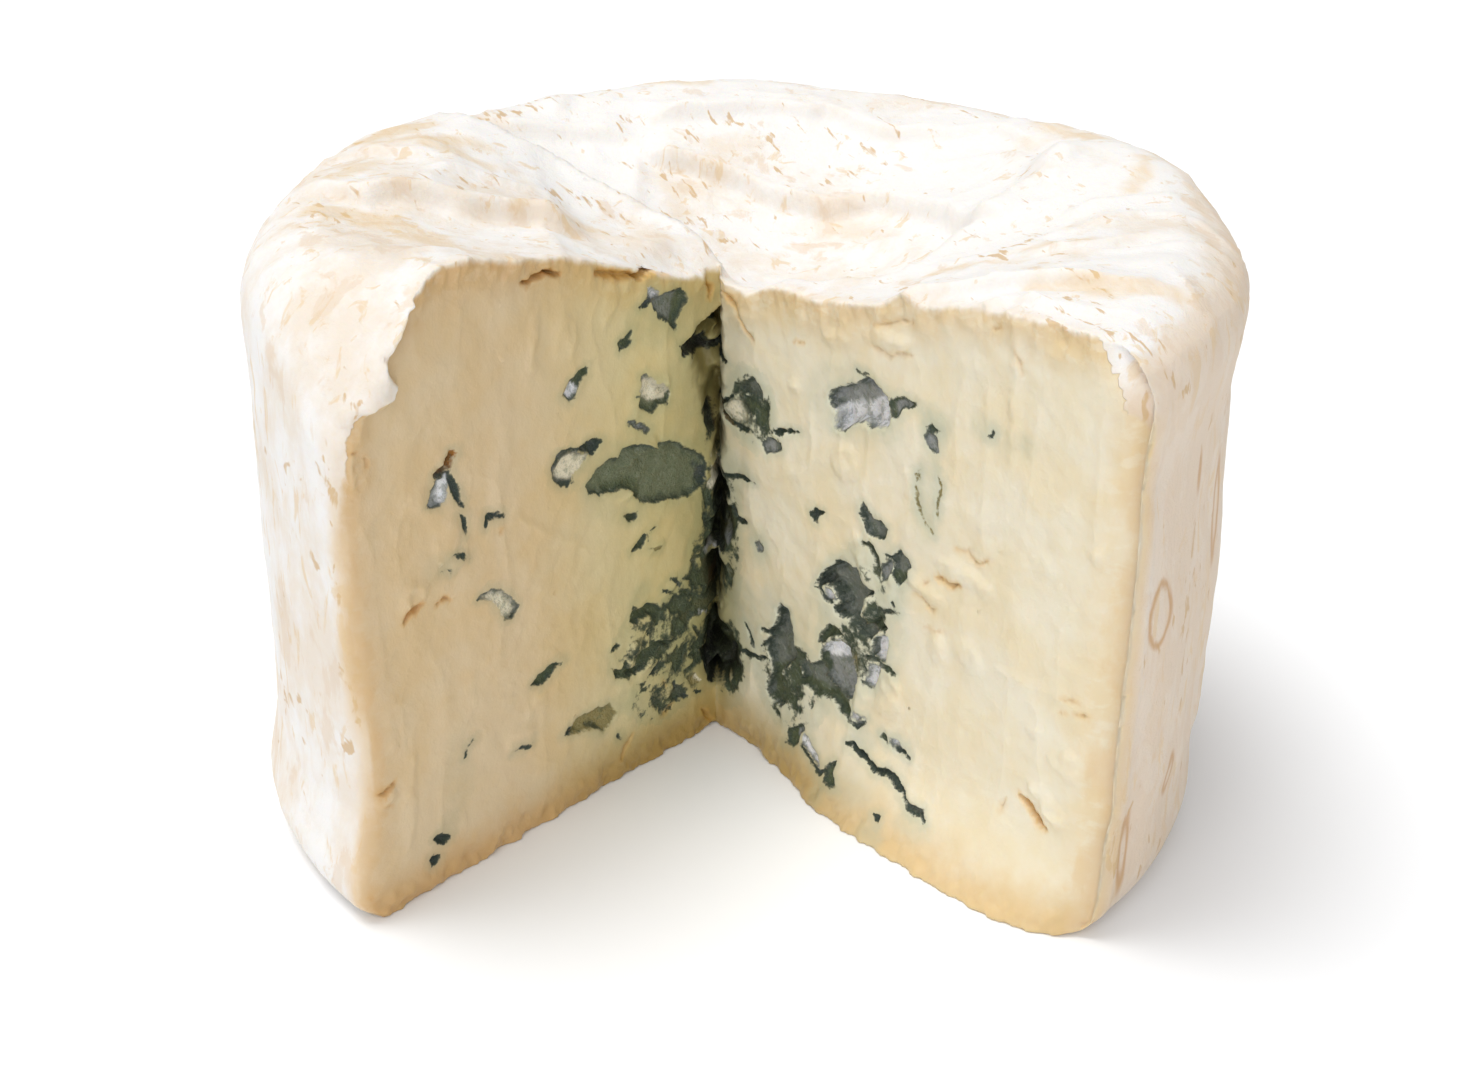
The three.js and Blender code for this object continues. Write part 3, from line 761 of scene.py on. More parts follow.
# %% Marks on the right cut face
RIGHT_OUTLINES = [
    (0.9, "ink", ((-0.3, 46), (1.2, 45.9), (1.3, 45.5), (-0.3, 45))),
    (1.6, "slate", ((2.7, 43.2), (3.4, 44.1), (4.5, 44.8), (5.4, 45.1), (6.1, 44.5), (6.7, 43.4),
                    (6.7, 42.6), (5.6, 43), (4.3, 43.1))),
    (1.3, "ink", ((3.4, 42.3), (4, 42), (5.3, 40.7), (5, 40.3), (4.3, 40.9), (3.6, 41.6))),
    (0.5, "cream", ((1.7, 41.2), (3, 42), (4.4, 40.6), (4.9, 39.8), (4.2, 39.2), (2.4, 39.4), (1.2, 40.2))),
    (1.3, "ink", ((7, 39.4), (9, 40.3), (10.1, 40.8), (11.2, 41.1), (12.6, 41.3), (11.2, 40.6), (9.9, 40),
                  (8.5, 39.8))),
    (0.9, "grey_mould_and_shade", ((7.2, 38.5), (7.9, 39.1), (9, 39.1), (9.9, 38.8), (10.3, 38.2), (9.4, 37.7),
                       (7.9, 37.2), (7.3, 37.9))),
    (3.4, "grey_mould_and_shade", ((16.6, 46.4), (17.3, 47.7), (18.6, 48.3), (20, 49.2), (21.5, 50.1), (22.9, 50.4),
                       (24.2, 49.8), (25.3, 49.2), (25.5, 48.1), (25.5, 46.8), (25.1, 46.3), (24.2, 45.9),
                       (23.3, 45.4), (22, 45.4), (20.9, 45.2), (20, 44.5), (19.1, 43.6), (17.5, 43.3),
                       (17.5, 44.3), (17.9, 45.2), (16.8, 45.9))),
    (0, "white", ((17.6, 45.6), (19.4, 46.4), (21.4, 47.2), (23.4, 48.4), (25.3, 48.4), (25.5, 46.8),
                  (24.2, 45.8), (22, 45.5), (20.9, 45.3), (20, 44.7), (18.4, 43.5), (17.5, 43.4))),
    (0.8, "green", ((25.4, 49.2), (26.5, 49.9), (28.9, 50), (29.3, 49.8), (27.6, 49), (26.5, 47.9),
                    (25.6, 47.4))),
    (0, "grey_mould_and_shade", ((26, 49.2), (27.4, 49.7), (28.4, 49.7), (27, 48.9), (26.3, 48.2))),
    (1.3, "slate", ((22, 35.3), (22.3, 36.8), (23.1, 36.4), (23.8, 35.7), (24.9, 35.5), (25.8, 35.1),
                    (25.8, 34), (24.9, 33.5), (23.5, 33.7), (22.6, 34.6))),
    (1.2, "ink", ((14.6, 32.7), (15.5, 33.3), (16.7, 33.4), (16, 32.8), (16, 32.1), (15.2, 32.2))),
    (3.4, "slate", ((16.6, 25.9), (17.1, 26.9), (18.2, 27.8), (19.1, 28.7), (20.3, 28.9), (21.7, 28.6),
                    (22.8, 27.9), (23.8, 27.2), (24.7, 27.2), (24.6, 26.6), (23.8, 26.4), (23.1, 25.7),
                    (22.9, 24.6), (23.8, 23.2), (24.7, 24.1), (25.6, 24.8), (26.1, 24.5), (26.8, 23.6),
                    (26.1, 23.2), (25.2, 22.7), (24.5, 21.6), (23.3, 21.1), (22.4, 21.6), (21.7, 22.4),
                    (20.3, 22.2), (19.2, 22.2), (18.9, 22.9), (19.6, 23.6), (19.2, 24.3), (18.5, 25.2),
                    (17.1, 25.1), (15.9, 24.6))),
    (0, "green", ((24.1, 24.2), (25.6, 25), (26.9, 23.6), (25, 22.6), (23.2, 23))),
    (0, "ink", ((25, 27.3), (24, 27.4), (23.2, 26.9), (23.9, 26.3), (24.7, 26.5))),
    (0.9, "white", ((17.3, 24.8), (18.4, 24.8), (19, 24), (18, 23.6), (17.5, 24))),
    (2.0, "grey_mould_and_shade", ((24.7, 20.6), (24.9, 22), (26.1, 22.7), (27, 22.5), (27, 21.1), (26.8, 19.9),
                       (25.2, 19.8), (24.4, 19.1))),
    (0, "white", ((25.6, 22.2), (26.9, 22.4), (26.9, 20.2), (25.4, 20))),
    (1.8, "slate", ((25.4, 31.9), (26.8, 32.6), (27.7, 33.3), (29.3, 32.6), (29.6, 31.9), (29.1, 30.5),
                    (28.2, 29.2), (27.4, 30), (27.2, 31), (26.5, 31.9))),
    (0, "green", ((27.5, 30.8), (29.2, 30.9), (28.6, 29.6), (28.2, 29.1), (27.3, 30))),
    (1.0, "grey_mould_and_shade", ((25.4, 30.8), (26.6, 31.7), (27.1, 30.8), (26.4, 29.4), (25.6, 28.6))),
    (3.0, "slate", ((7.6, 15.5), (8.5, 16.2), (9.7, 16.9), (9.9, 17.8), (9.9, 19.2), (10.6, 20.1),
                    (12, 19.2), (12.6, 17.6), (12.8, 16), (13.8, 14.8), (12.9, 13.9), (12.5, 13.2),
                    (11.5, 12.5), (11.1, 10.9), (11.3, 8.4), (11.8, 7.9), (11.1, 7.4), (9.9, 7),
                    (9.2, 7.9), (8.5, 8.4), (8.9, 9.8), (9.5, 11.4), (9.6, 12.3), (8.8, 13.2), (8.5, 14.2),
                    (7.4, 13.6), (8.3, 14.6), (8.8, 15.5))),
    (0, "green", ((9.7, 12), (11.3, 12.2), (11.2, 9.4), (11.6, 7.9), (9.4, 7.4), (9.2, 9.6))),
    (0.9, "green", ((9.8, 6.9), (11.4, 6.6), (11.6, 5.9), (10.6, 6.1))),
    (2.2, "slate", ((13.2, 11.3), (14.3, 12.3), (13.8, 14.4), (15, 14.6), (16.2, 15.1), (17.4, 15.9),
                    (17.8, 14.2), (18.5, 13.4), (19.8, 13), (21.7, 12.9), (22.2, 10.5), (20.3, 10.9),
                    (19.4, 11.8), (18, 11.6), (16.6, 10.8), (15, 11.4))),
    (0, "green", ((13.2, 11.3), (15.2, 12.4), (17.6, 12.4), (20, 12.3), (22.1, 12), (22.2, 10.5),
                  (20.3, 10.9), (19.4, 11.8), (18, 11.6), (16.6, 10.8), (15, 11.4))),
    (3.0, "grey_mould_and_shade", ((17.3, 17.4), (18.5, 18.8), (19.8, 19.6), (21.2, 19.1), (21.8, 18.1), (22.2, 16.5),
                       (22.8, 15.5), (22.2, 14.2), (21.9, 12.8), (20.1, 12.8), (18.5, 13.3), (17.4, 14.5),
                       (17.1, 16.2))),
    (0, "white", ((17.4, 17.2), (18.5, 18.7), (19.8, 19.5), (21.2, 19), (21.8, 17.8), (19.4, 17.2),
                  (18, 16.6))),
    (1.6, "green", ((16.9, 17.8), (17.2, 19.4), (18.2, 20.5), (19.6, 20.8), (20.5, 20.1), (19, 19.7),
                    (18.2, 19), (17.6, 18))),
    (0, "green", ((17.2, 17), (17.6, 15.2), (17.5, 14.4), (16.9, 15), (16.8, 16.4))),
    (1.4, "white", ((24.4, 18.6), (26.1, 19), (26.3, 18.3), (25.2, 16.2), (24, 15.9))),
    (1.0, "white", ((22.4, 11.9), (24.4, 12.1), (23.2, 10.9), (22.3, 10.8))),
    (1.1, "green", ((26.5, 10.6), (27.2, 11.2), (27.7, 10.9), (28, 10.2))),
    (0.8, "white", ((27.8, 11), (29, 11.2), (29.8, 10.6), (28.4, 10.3))),
    (1.4, "green", ((12.8, 5.2), (13.8, 5.9), (15, 6.8), (15.9, 6.9), (15.2, 5.6), (15.3, 4.6),
                    (14.1, 3.9), (12.6, 3.4), (13, 4.3))),
    (0, "grey_mould_and_shade", ((14.4, 5.8), (15.2, 6.4), (15.4, 5.4), (14.6, 5))),
    (0.8, "white", ((15.8, 6.3), (17, 5.8), (18.5, 5), (19.6, 3.7), (17.4, 4.4), (15.7, 5))),
    (0.9, "green", ((20.3, 3.8), (21.4, 5.4), (21.5, 4), (22.6, 3.1), (20.8, 2.7))),
    (0.8, "ink", ((28.8, 2.9), (29.6, 3.3), (29.9, 2.4), (29.3, 2.5))),
    (0.5, "grey_mould_and_shade", ((30.4, 46.8), (31, 47.6), (32, 47.4), (32.4, 46), (31.8, 45.4), (30.9, 45.9))),
    (0.7, "green", ((30.6, 48), (31.4, 48.4), (32.4, 47.8), (31.6, 47.6))),
    (1.0, "moss", ((1.3, 21.1), (1.8, 21.8), (2.7, 20.9), (2.6, 19.7), (2.1, 18.8), (1.2, 20.2))),
    (0.4, "grey_mould_and_shade", ((6.0, 25.7), (6.6, 26.4), (7.8, 26), (7.6, 25.3), (6.6, 24.9))),
    # The crevice on the right: holes lined near black as painted shadow, and paste painted brown as shade
    (1.5, "pit_shadow", ((-0.3, 32), (1, 31.4), (1.8, 30.6), (1.9, 29.8), (1.1, 28.9), (-0.3, 28.6))),
    (1.0, "ink", ((1.4, 28.7), (2.6, 29.2), (3.2, 28.4), (4.8, 27.6), (3.4, 27.3), (2, 27.8))),
    (1.0, "moss", ((-0.3, 28.9), (1.2, 28.8), (2.2, 27.4), (2.6, 26.4), (2.5, 25.4), (1.9, 24.2),
                   (1, 22.6), (0.2, 22.2), (-0.3, 22.4))),
    (0, "pit_shadow", ((-0.3, 28), (0.8, 27.6), (1.2, 26), (0.6, 25), (-0.3, 25.2))),
    (0, "pit_shadow", ((-0.3, 24), (0.8, 23.2), (0.6, 22.3), (-0.3, 22.4))),
    (0, "grey_mould_and_shade", ((1.2, 25.4), (2, 25), (1.6, 23.8), (0.8, 23.6))),
    (1.3, "pit_shadow", ((-0.3, 11.2), (2.3, 12.4), (3.5, 11.8), (4.3, 9.8), (3.9, 7.7), (2.5, 6.8), (0.9, 5.8),
                  (-0.3, 6.4))),
    (0, "green", ((-0.3, 11), (1.6, 11.4), (3.4, 11.6), (3.2, 10.2), (1.4, 9.8), (-0.3, 9.6))),
    (0, "slate", ((3.1, 10.4), (4.2, 9.8), (3.8, 8.8), (3.1, 9.2))),
    (0.8, "moss", ((-0.3, 14.2), (0.6, 13.6), (0.4, 12.3), (-0.3, 12))),
    (0, "shaded_paste", ((-0.3, 41.6), (0.5, 41), (0.6, 39.4), (2.6, 38.6), (2.6, 37.4), (0.9, 35.6), (-0.3, 35))),
    (0, "ink", ((-0.3, 41.2), (1.2, 41.6), (2, 42), (0.8, 40.4), (0.2, 39.4), (-0.3, 39.2))),
]
RIGHT_VEINS = [
    (1.1, 0.3, "ink", ((2.1, 42), (1.1, 41.1), (0.5, 40.3), (0.9, 39.5), (1.8, 39.1), (2.9, 38.8),
                       (4.5, 38.7), (5.2, 39.2))),
    (0.7, 0.2, "ink", ((3.4, 43.6), (5, 43.3), (6.4, 43))),
    (0.7, 0.22, "ink", ((7, 41.1), (8.1, 41.6))),
    (0.8, 0.2, "ink", ((7.6, 38.4), (8.4, 39), (9.8, 38.9))),
    (0.6, 0.12, "green", ((20.6, 50.7), (21.4, 50.6), (22.4, 50.9))),
    (0.9, 0.24, "ink", ((0, 31.6), (1.4, 32.1), (2.9, 32.7), (4.5, 33), (5.9, 33))),
    (1.5, 0.36, "moss", ((22.8, 32.2), (23.6, 32.3), (24.5, 31.3), (24.9, 30.2), (25.3, 28.6))),
    (1.1, 0.28, "ink", ((15.9, 24.1), (16.6, 24.4), (17.3, 23.6), (18.5, 23.5))),
    (0.9, 0.24, "ink", ((27.3, 27.3), (27.6, 26.8), (28.1, 26.6))),
    (0.9, 0.3, "slate", ((25.2, 25), (26.6, 25.6), (28.4, 26.3))),
    (1.1, 0.28, "green", ((23.2, 18.7), (24, 19.3), (25.5, 19.5), (26.9, 19.4), (28.3, 18.8))),
    (1.1, 0.26, "green", ((23.2, 18.7), (23.5, 18), (24.3, 17.4))),
    (0.8, 0.24, "ink", ((23.6, 16), (24.8, 15.9))),
    (0.7, 0.35, "olive_mould_and_shade", ((22.8, 19), (22.2, 18), (22.5, 16.8))),
    (1.0, 0.24, "ink", ((22.2, 10.5), (23.2, 10.4), (24.4, 11.9))),
    (1.1, 0.3, "ink", ((28.6, 10.4), (29.6, 10.2), (30.9, 10))),
    (1.5, 0.34, "ink", ((22.3, 7.8), (23.3, 8.2), (24.5, 7.7), (25.9, 7.3), (27.2, 6.9), (28.7, 7.3),
                        (30, 7.1), (31.2, 6.5), (32.1, 5.8))),
    (1.5, 0.5, "slate", ((32, 5.7), (33.4, 5.3), (34.6, 5.7), (35.2, 5.1))),
    (1.0, 0.2, "ink", ((15.3, 4.6), (16.5, 4.4), (18.2, 3.8), (19.7, 3.2), (20.4, 4), (21.4, 5.4))),
    (0.9, 0.24, "slate", ((4.8, 15.2), (5.5, 14.2), (6.6, 12.5))),
    (1.0, 0.3, "ink", ((4.2, 11.3), (6.5, 11.8), (9.2, 12.1))),
    (0.9, 0.3, "ink", ((7.6, 13.6), (8.6, 14))),
    (0.9, 0.3, "ink", ((7.7, 15.8), (9, 15.9))),
    (0.5, 0.14, "olive_mould_and_shade", ((30, 43), (29.6, 41.4), (29.9, 39.6), (30.6, 38.2), (32.4, 37))),
    (0.4, 0.12, "olive_mould_and_shade", ((32.4, 44), (33, 42.6), (32.6, 40.8), (32.8, 39))),
    (0.4, 0.14, "slate", ((39.2, 50.4), (38.9, 49.5), (38.4, 49.4))),
]
RIGHT_CRACKS = [
    (0.9, 0.3, ((0.6, 53.8), (1.6, 53.4), (3, 52.2))),
    (0.8, 0.2, ((3.2, 51.4), (4.2, 50.2), (5.4, 49.4))),
    (0.8, 0.14, ((11.4, 51), (12.8, 51.3))),
    (2.2, 0.42, ((46.2, 12.9), (47.6, 12.2), (48.6, 11.2), (50, 10.7))),
    (0.6, 0.12, ((35.4, 36.3), (37, 36.6), (38, 36.2), (39.6, 36.6))),
    (0.9, 0.2, ((33, 32.3), (34.4, 32.3), (36.4, 32.6))),
    (0.5, 0.12, ((30.4, 29.4), (31.6, 29), (33, 28.4), (33.6, 28.9))),
    (0.4, 0.1, ((31.8, 26), (33.2, 26.2), (34.4, 26.7))),
    (0.5, 0.14, ((31.2, 30.9), (31.8, 31.6))),
    (0.5, 0.12, ((50.2, 26.2), (52.2, 26.4))),
    (0.6, 0.16, ((52.2, 25.2), (53.8, 25.2))),
    (0.5, 0.14, ((50.4, 24.4), (51, 24.6))),
    (0.4, 0.3, ((53.4, 5.6), (54.6, 5.5))),
    (0.4, 0.25, ((41.2, 59), (42, 58), (42.2, 57.2))),
    (0.4, 0.25, ((38.2, 60.4), (39.2, 60.9))),
    (0.4, 0.2, ((22.6, 54.1), (25, 53.8), (28, 54.6))),
    (0.4, 0.2, ((23, 56.4), (25.4, 57.4), (28, 58))),
    (0.4, 0.2, ((44, 10), (44.4, 11.4))),
]
RIGHT_STAINS = [
    (31.6, 48.6, 1.8, 1.4, 0, 0.8),
    (31.2, 40.5, 1.4, 4.0, 0, 0.5),
    (38.4, 50.2, 1.7, 0.9, 0, 0.45),
    (43.2, 50.2, 0.9, 0.9, 30, 0.4),
    (40.4, 49.6, 1.8, 1.0, 0, 0.3),
    (25.6, 45.8, 1.6, 1.0, 30, 0.5),
    (7.6, 40.6, 1.2, 1.4, 0, 0.7),
    (3.2, 33.6, 2.2, 0.9, 10, 0.6),
    (6.9, 25.6, 1.6, 2.0, 0, 0.5),
    (20, 12.4, 3.6, 2.4, 0, 0.5),
    (27, 29, 2.4, 3.5, 0, 0.6),
    (29.4, 1, 1.4, 0.6, 0, 0.6),
    (20.4, 1.4, 0.6, 0.6, 0, 0.6),
    (34, 4, 2.2, 1.0, 0, 0.4),
    (24, 3.6, 3, 1, 0, 0.25),
    (28.6, 11, 2.4, 0.8, 0, 0.5),
    (24.2, 9.4, 1.6, 0.8, 0, 0.5),
    (3.0, 15, 4.6, 5.4, 0, 0.6),
    (4.4, 41.6, 4.2, 4.0, 0, 0.5),
    (1.0, 28, 2.2, 8.0, 0, 0.5),
    (22, 22, 7.0, 10.0, -20, 0.4),
    (11, 14, 5.0, 8.0, 0, 0.4),
    (20, 47, 6.5, 4.0, 10, 0.35),
]
RIGHT_LUMPS = [
    (17.6, 53.3, 1.9, 0.8, 4, 0.45),
    (25.4, 55.6, 2.7, 0.9, 6, 0.5),
    (22.8, 29.8, 0.9, 2.3, 25, 0.7),
    (24, 25, 0.8, 1.6, 0, 1.2),
    (26.6, 28.6, 0.6, 2.4, -20, 0.6),
    (38.4, 34, 2.6, 1.0, 0, 0.4),
    (35.2, 33.8, 1.8, 1.2, 0, 0.35),
    (31.8, 30.4, 2.4, 0.9, -10, 0.35),
    (34, 24.6, 1.0, 1.6, 20, 0.35),
    (38, 25.4, 2.2, 1.6, -20, 0.25),
    (27.4, 16.2, 1.4, 2.6, -8, 0.45),
    (23.4, 13.8, 1.1, 2.0, -10, 0.7),
    (49.6, 13.6, 2.6, 1.0, -30, 0.6),
    (52.6, 19, 3.0, 1.6, 0, 0.35),
    (54.8, 18, 1.0, 2.6, 0, 0.4),
    (41.5, 56, 0.5, 5.5, 2, 0.45),
    (19.6, 40.4, 1.8, 1.8, 0, 0.3),
    (11.8, 46.4, 1.2, 0.5, 20, 0.35),
    (1.8, 56.0, 1.6, 1.0, 40, 0.6),
    (4.4, 53.0, 1.0, 2.6, -10, 0.5),
    (2.6, 50.6, 2.6, 0.8, 0, 0.4),
    (47, 21, 1.0, 0.6, 20, 0.25),
    (46, 25.8, 5.0, 0.5, 3, 0.15),
    (46.6, 39, 1.5, 1.0, -20, 0.2),
    (53.6, 42.6, 1.6, 1.2, 30, 0.4),
    (33.6, 6.3, 1.2, 0.5, -10, 0.4),
    (2.4, 40.4, 1.2, 0.9, -20, 0.5),
]
print("marks on the right", len(RIGHT_OUTLINES), "outlines and", len(RIGHT_VEINS), "veins")

# %% Crumbled places
# Where mould and paste are crumbled together, small pockets fill a whole ellipse at random.
LEFT_CLUSTERS = [
    # along, up, half length, half height, lean in degrees, how much is pocket
    (5.5, 14.5, 6.0, 5.5, 25, 0.0),
    (2.2, 20.5, 2.6, 5.5, 0, 0.15),
    (1.2, 31, 1.6, 7.5, 0, 0.1),
    (10.5, 15.5, 6.5, 3.0, 12, -0.1),
    (9.5, 8.0, 4.5, 2.6, 10, -0.15),
]
RIGHT_CLUSTERS = [
    (1.8, 9.5, 2.8, 4.6, 0, 0.25),
    (1.4, 25, 1.8, 6.5, 0, 0.1),
    (22, 22.5, 4.0, 8.0, -15, -0.2),
    (12.5, 11.0, 5.0, 5.0, -30, -0.2),
    (5.0, 41.5, 3.0, 3.6, 0, -0.1),
]
CUT_MARKS = {
    -1: (LEFT_OUTLINES, LEFT_VEINS, LEFT_CRACKS, LEFT_STAINS, LEFT_LUMPS, LEFT_CLUSTERS),
    1: (RIGHT_OUTLINES, RIGHT_VEINS, RIGHT_CRACKS, RIGHT_STAINS, RIGHT_LUMPS, RIGHT_CLUSTERS),
}
print("marks on each cut face", [[len(rows) for rows in marks] for marks in CUT_MARKS.values()])

# %% How far a place is from each pocket
WALL = 0.4  # how far a pocket's wall slopes, in millimetres
SHALLOW = 0.55
FAR = 9.0
NEAR = 1.5
TINY = 1e-9
CLUSTER_DEPTH = 0.8
COVERING = 200  # how strongly a mark with no depth covers the linings under it


def from_ellipse(along, up, ellipse):
    """Roughly the distance outside an ellipse, negative inside."""
    middle_along, middle_up, half_length, half_height, lean = ellipse
    turn = math.radians(lean)
    a, u = along - middle_along, up - middle_up
    length_way = (a * math.cos(turn) + u * math.sin(turn)) / half_length
    height_way = (u * math.cos(turn) - a * math.sin(turn)) / half_height
    ratio = np.hypot(length_way, height_way)
    stretch = np.hypot(length_way * half_height, height_way * half_length) / np.maximum(ratio, 1e-6)
    return (ratio - 1) * np.minimum(half_length * half_height / np.maximum(stretch, 0.05), half_length)


def from_line(along, up, points, half_width):
    signed, walked, length = beside_line(points, np.stack([along, up], axis=1))
    slim = 0.35 + 0.65 * smooth_step(np.minimum(walked, length - walked), 0, 1.2)
    return abs(signed) - half_width * slim


def from_outline(along, up, points):
    """The distance outside a closed outline, negative inside."""
    flat = np.stack([along, up], axis=1)
    signed, _, _ = beside_line(points + points[:1], flat)
    inside = np.zeros(len(flat), bool)
    for start, end in zip(points, points[1:] + points[:1]):
        crosses = (start[1] > up) != (end[1] > up)
        rise = end[1] - start[1] or 1
        inside ^= crosses & (along < start[0] + (up - start[1]) * (end[0] - start[0]) / rise)
    return np.where(inside, -abs(signed), abs(signed))


def only_near(measure, along, up, places, *more):
    """Measures the distance to a mark, but only close to it, which is where it matters."""
    corners = np.array(places)
    low, high = corners.min(0) - NEAR, corners.max(0) + NEAR
    near = (along > low[0]) & (along < high[0]) & (up > low[1]) & (up < high[1])
    distance = np.full(len(along), FAR)
    distance[near] = measure(along[near], up[near], places, *more)
    return distance

# %% Reading the marks
def read_cut_marks(along, up, place, side):
    """The fields that shape and colour one cut face."""
    outlines, veins, cracks, stains, lumps, clusters = CUT_MARKS[side]
    a, u = (
        value + 0.22 * hills(place, 2.1, 41 + i) + 0.2 * hills(place, 0.9, 51 + i)
        for i, value in enumerate((along, up))
    )
    ragged = 0.12 * hills(place, 0.5, 61)
    hollows = hills(place, 1.4, 64)
    soft = 0.75 + 0.5 * hills(place, 1.2, 66)
    fields = {name: np.zeros(len(along)) for name in ("push", "amber", "raised", "stain", "rim")}
    edge = np.full(len(along), FAR)
    lining = np.full((len(along), 3), TINY)
    weights = np.full(len(along), TINY)
    shapes = [(only_near(from_outline, a, u, points), depth, tint) for depth, tint, points in outlines]
    shapes += [(only_near(from_line, a, u, points, half), depth, tint) for depth, half, tint, points in veins]
    crumbled = 0.6 * rough_hills(place * [1, 1, 1.3], 2.2, 150)
    for *ellipse, share in clusters:
        pocket = -(crumbled + share * 0.6)
        within = from_ellipse(a, u, ellipse)
        distance = np.where(within < NEAR, np.maximum(pocket, within * 0.5), FAR)
        shapes.append((distance, CLUSTER_DEPTH, "green"))
    for distance, depth, tint in shapes:
        distance = distance + ragged
        colour, dark_rim = LININGS[tint]
        if depth:
            edge = np.minimum(edge, distance)
            deep = depth * SHALLOW * (0.8 + 0.35 * hollows)
            fields["push"] = np.maximum(fields["push"], deep * smooth_step(-distance, -0.1, WALL))
            weight = np.exp(-np.clip(distance, -0.6, NEAR) / 0.25)
        else:
            weight = COVERING * smooth_step(-distance, -0.15, 0.15)
        weight = weight * (distance < NEAR)
        lining += weight[:, None] * np.array(colour)
        fields["rim"] += weight * dark_rim
        weights += weight
    lining /= weights[:, None]
    fields["rim"] /= weights
    for depth, half, points in cracks:
        distance = only_near(from_line, a, u, points, half) + ragged
        fields["push"] = np.maximum(fields["push"], depth * smooth_step(-distance, -0.1, 0.3))
        fields["amber"] = np.maximum(fields["amber"], min(depth, 1) * smooth_step(-distance, -0.5, 0.1))
    for *ellipse, strength in stains:
        stained = strength * smooth_step(-from_ellipse(a, u, ellipse), -1.2, 0.4)
        fields["stain"] = np.maximum(fields["stain"], stained)
    for *ellipse, height in lumps:
        raised = height * soft * smooth_step(-from_ellipse(a, u, ellipse) - ragged, -0.7, 0.7)
        fields["raised"] = np.maximum(fields["raised"], raised)
    return edge, lining, fields


print("pockets slope over", WALL, "mm")

# %% [markdown]
# ## Sculpting the wheel
#
# All the moves of the surface happen here, from the biggest to the finest: the side sags and bulges,
# the top folds, the upper left corner slumps, the base of the right cut bows out, a deep crevice
# opens where the two cuts meet, and the pockets are pushed in. The base stays flat, because the
# cheese rests on it. Each move works on all vertices at once, like one stroke of a big brush.

# %% Big shapes
# Each is a row of places and a row of values between which the computer draws straight lines.
# The top before it is folded: distances from the axis, and its height there.
REST_TOP = ((0, 8.5, 16.5, 25.5, 35.5, 43.5), (55.8, 55.8, 57.2, 60.0, 63.4, 65.0))
# The side: heights above the base, and how far it stands out there.
RIGHT_TAPER = (
    (0, 5, 10, 15, 27, 35, 42, 50, 57, 62),
    (-1.4, -1.0, -0.5, 0.4, 0.15, -0.1, -0.5, -0.6, 0.6, 1.5),
)
LEFT_TAPER = ((0, 4, 8, 12, 18, 26, 40, 62), (-0.1, 0.1, -0.2, -0.3, -0.4, -0.5, -0.3, 0.2))
SIDE_BULGE = ((0, 5, 12, 20, 32, 45, 58, 65), (0.4, 0.6, -0.3, -0.4, 0.0, -0.1, -0.4, -0.8))


def skin_depth(place):
    """How deep a place lies below the side or the top, and how far above the base, in millimetres."""
    radius = np.hypot(place[:, 0], place[:, 1])
    to_side = wheel_radius / MM - radius
    to_top = np.interp(radius, *REST_TOP) - place[:, 2]
    return np.clip(np.minimum(to_side, to_top), 0, FAR), np.clip(place[:, 2], 0, FAR)


def sculpt_outside(place):
    radius = np.hypot(place[:, 0], place[:, 1])
    outward = place[:, :2] / np.maximum(radius, 1e-6)[:, None]
    share = smooth_step(radius, 25, wheel_radius / MM)
    above_base = smooth_step(place[:, 2], 0.3, 4)
    bulge = np.interp(place[:, 2], *SIDE_BULGE)
    bulge = bulge + 0.8 * rough_hills(place * [1, 1, 0.6], 24, 70) * above_base
    bulge += 0.3 * rough_hills(place * [1, 1, 0.5], 7, 74) * above_base
    lean = place[:, 0] / (wheel_radius / MM)
    bulge += np.clip(lean, 0, 1) * np.interp(place[:, 2], *RIGHT_TAPER)
    bulge += np.clip(-lean, 0, 1) * np.interp(place[:, 2], *LEFT_TAPER)
    moved = place.copy()
    moved[:, :2] += outward * (bulge * share)[:, None]
    lift = smooth_step(place[:, 2], 35, 54)
    moved[:, 2] += top_shift(place) * lift
    skin = 0.12 * rough_hills(place, 3.2, 78) * above_base
    moved[:, 2] += skin * lift
    moved[:, :2] += outward * (skin * share)[:, None]
    return moved


skin, from_base = skin_depth(rest)
side_facts = {side: on_cut_face(rest, side) for side in (-1, 1)}
wheel_places = sculpt_outside(rest)
print("sculpted", wheel_places.min(0).round(1), wheel_places.max(0).round(1))

# %% The cut faces
# Heights above the base, and how wide the crevice between the cuts is there on each cut face.
CREVICE_LEFT = (
    (0, 5, 7, 10, 12, 16, 20, 24, 26, 28, 32, 36, 38, 41, 43, 45, 47, 49, 50.5, 52),
    (0, 0.3, 1.6, 2.8, 2.6, 1.6, 2.2, 2.3, 0.8, 0.9, 1.2, 1.6, 2.0, 3.0, 3.9, 4.9, 5.2, 6.4, 4.0, 0.2),
)
CREVICE_RIGHT = (
    (0, 5, 7, 9, 12, 14, 20, 22, 25, 27, 29, 31, 33, 36, 39, 42, 44, 46, 48, 52),
    (0, 0.3, 3.4, 4.0, 3.2, 0.8, 1.2, 0.6, 2.4, 2.6, 1.8, 1.8, 0.4, 1.2, 0.6, 0.8, 0.4, 1.2, 0.6, 0),
)
CREVICE_DEPTH = 5.0


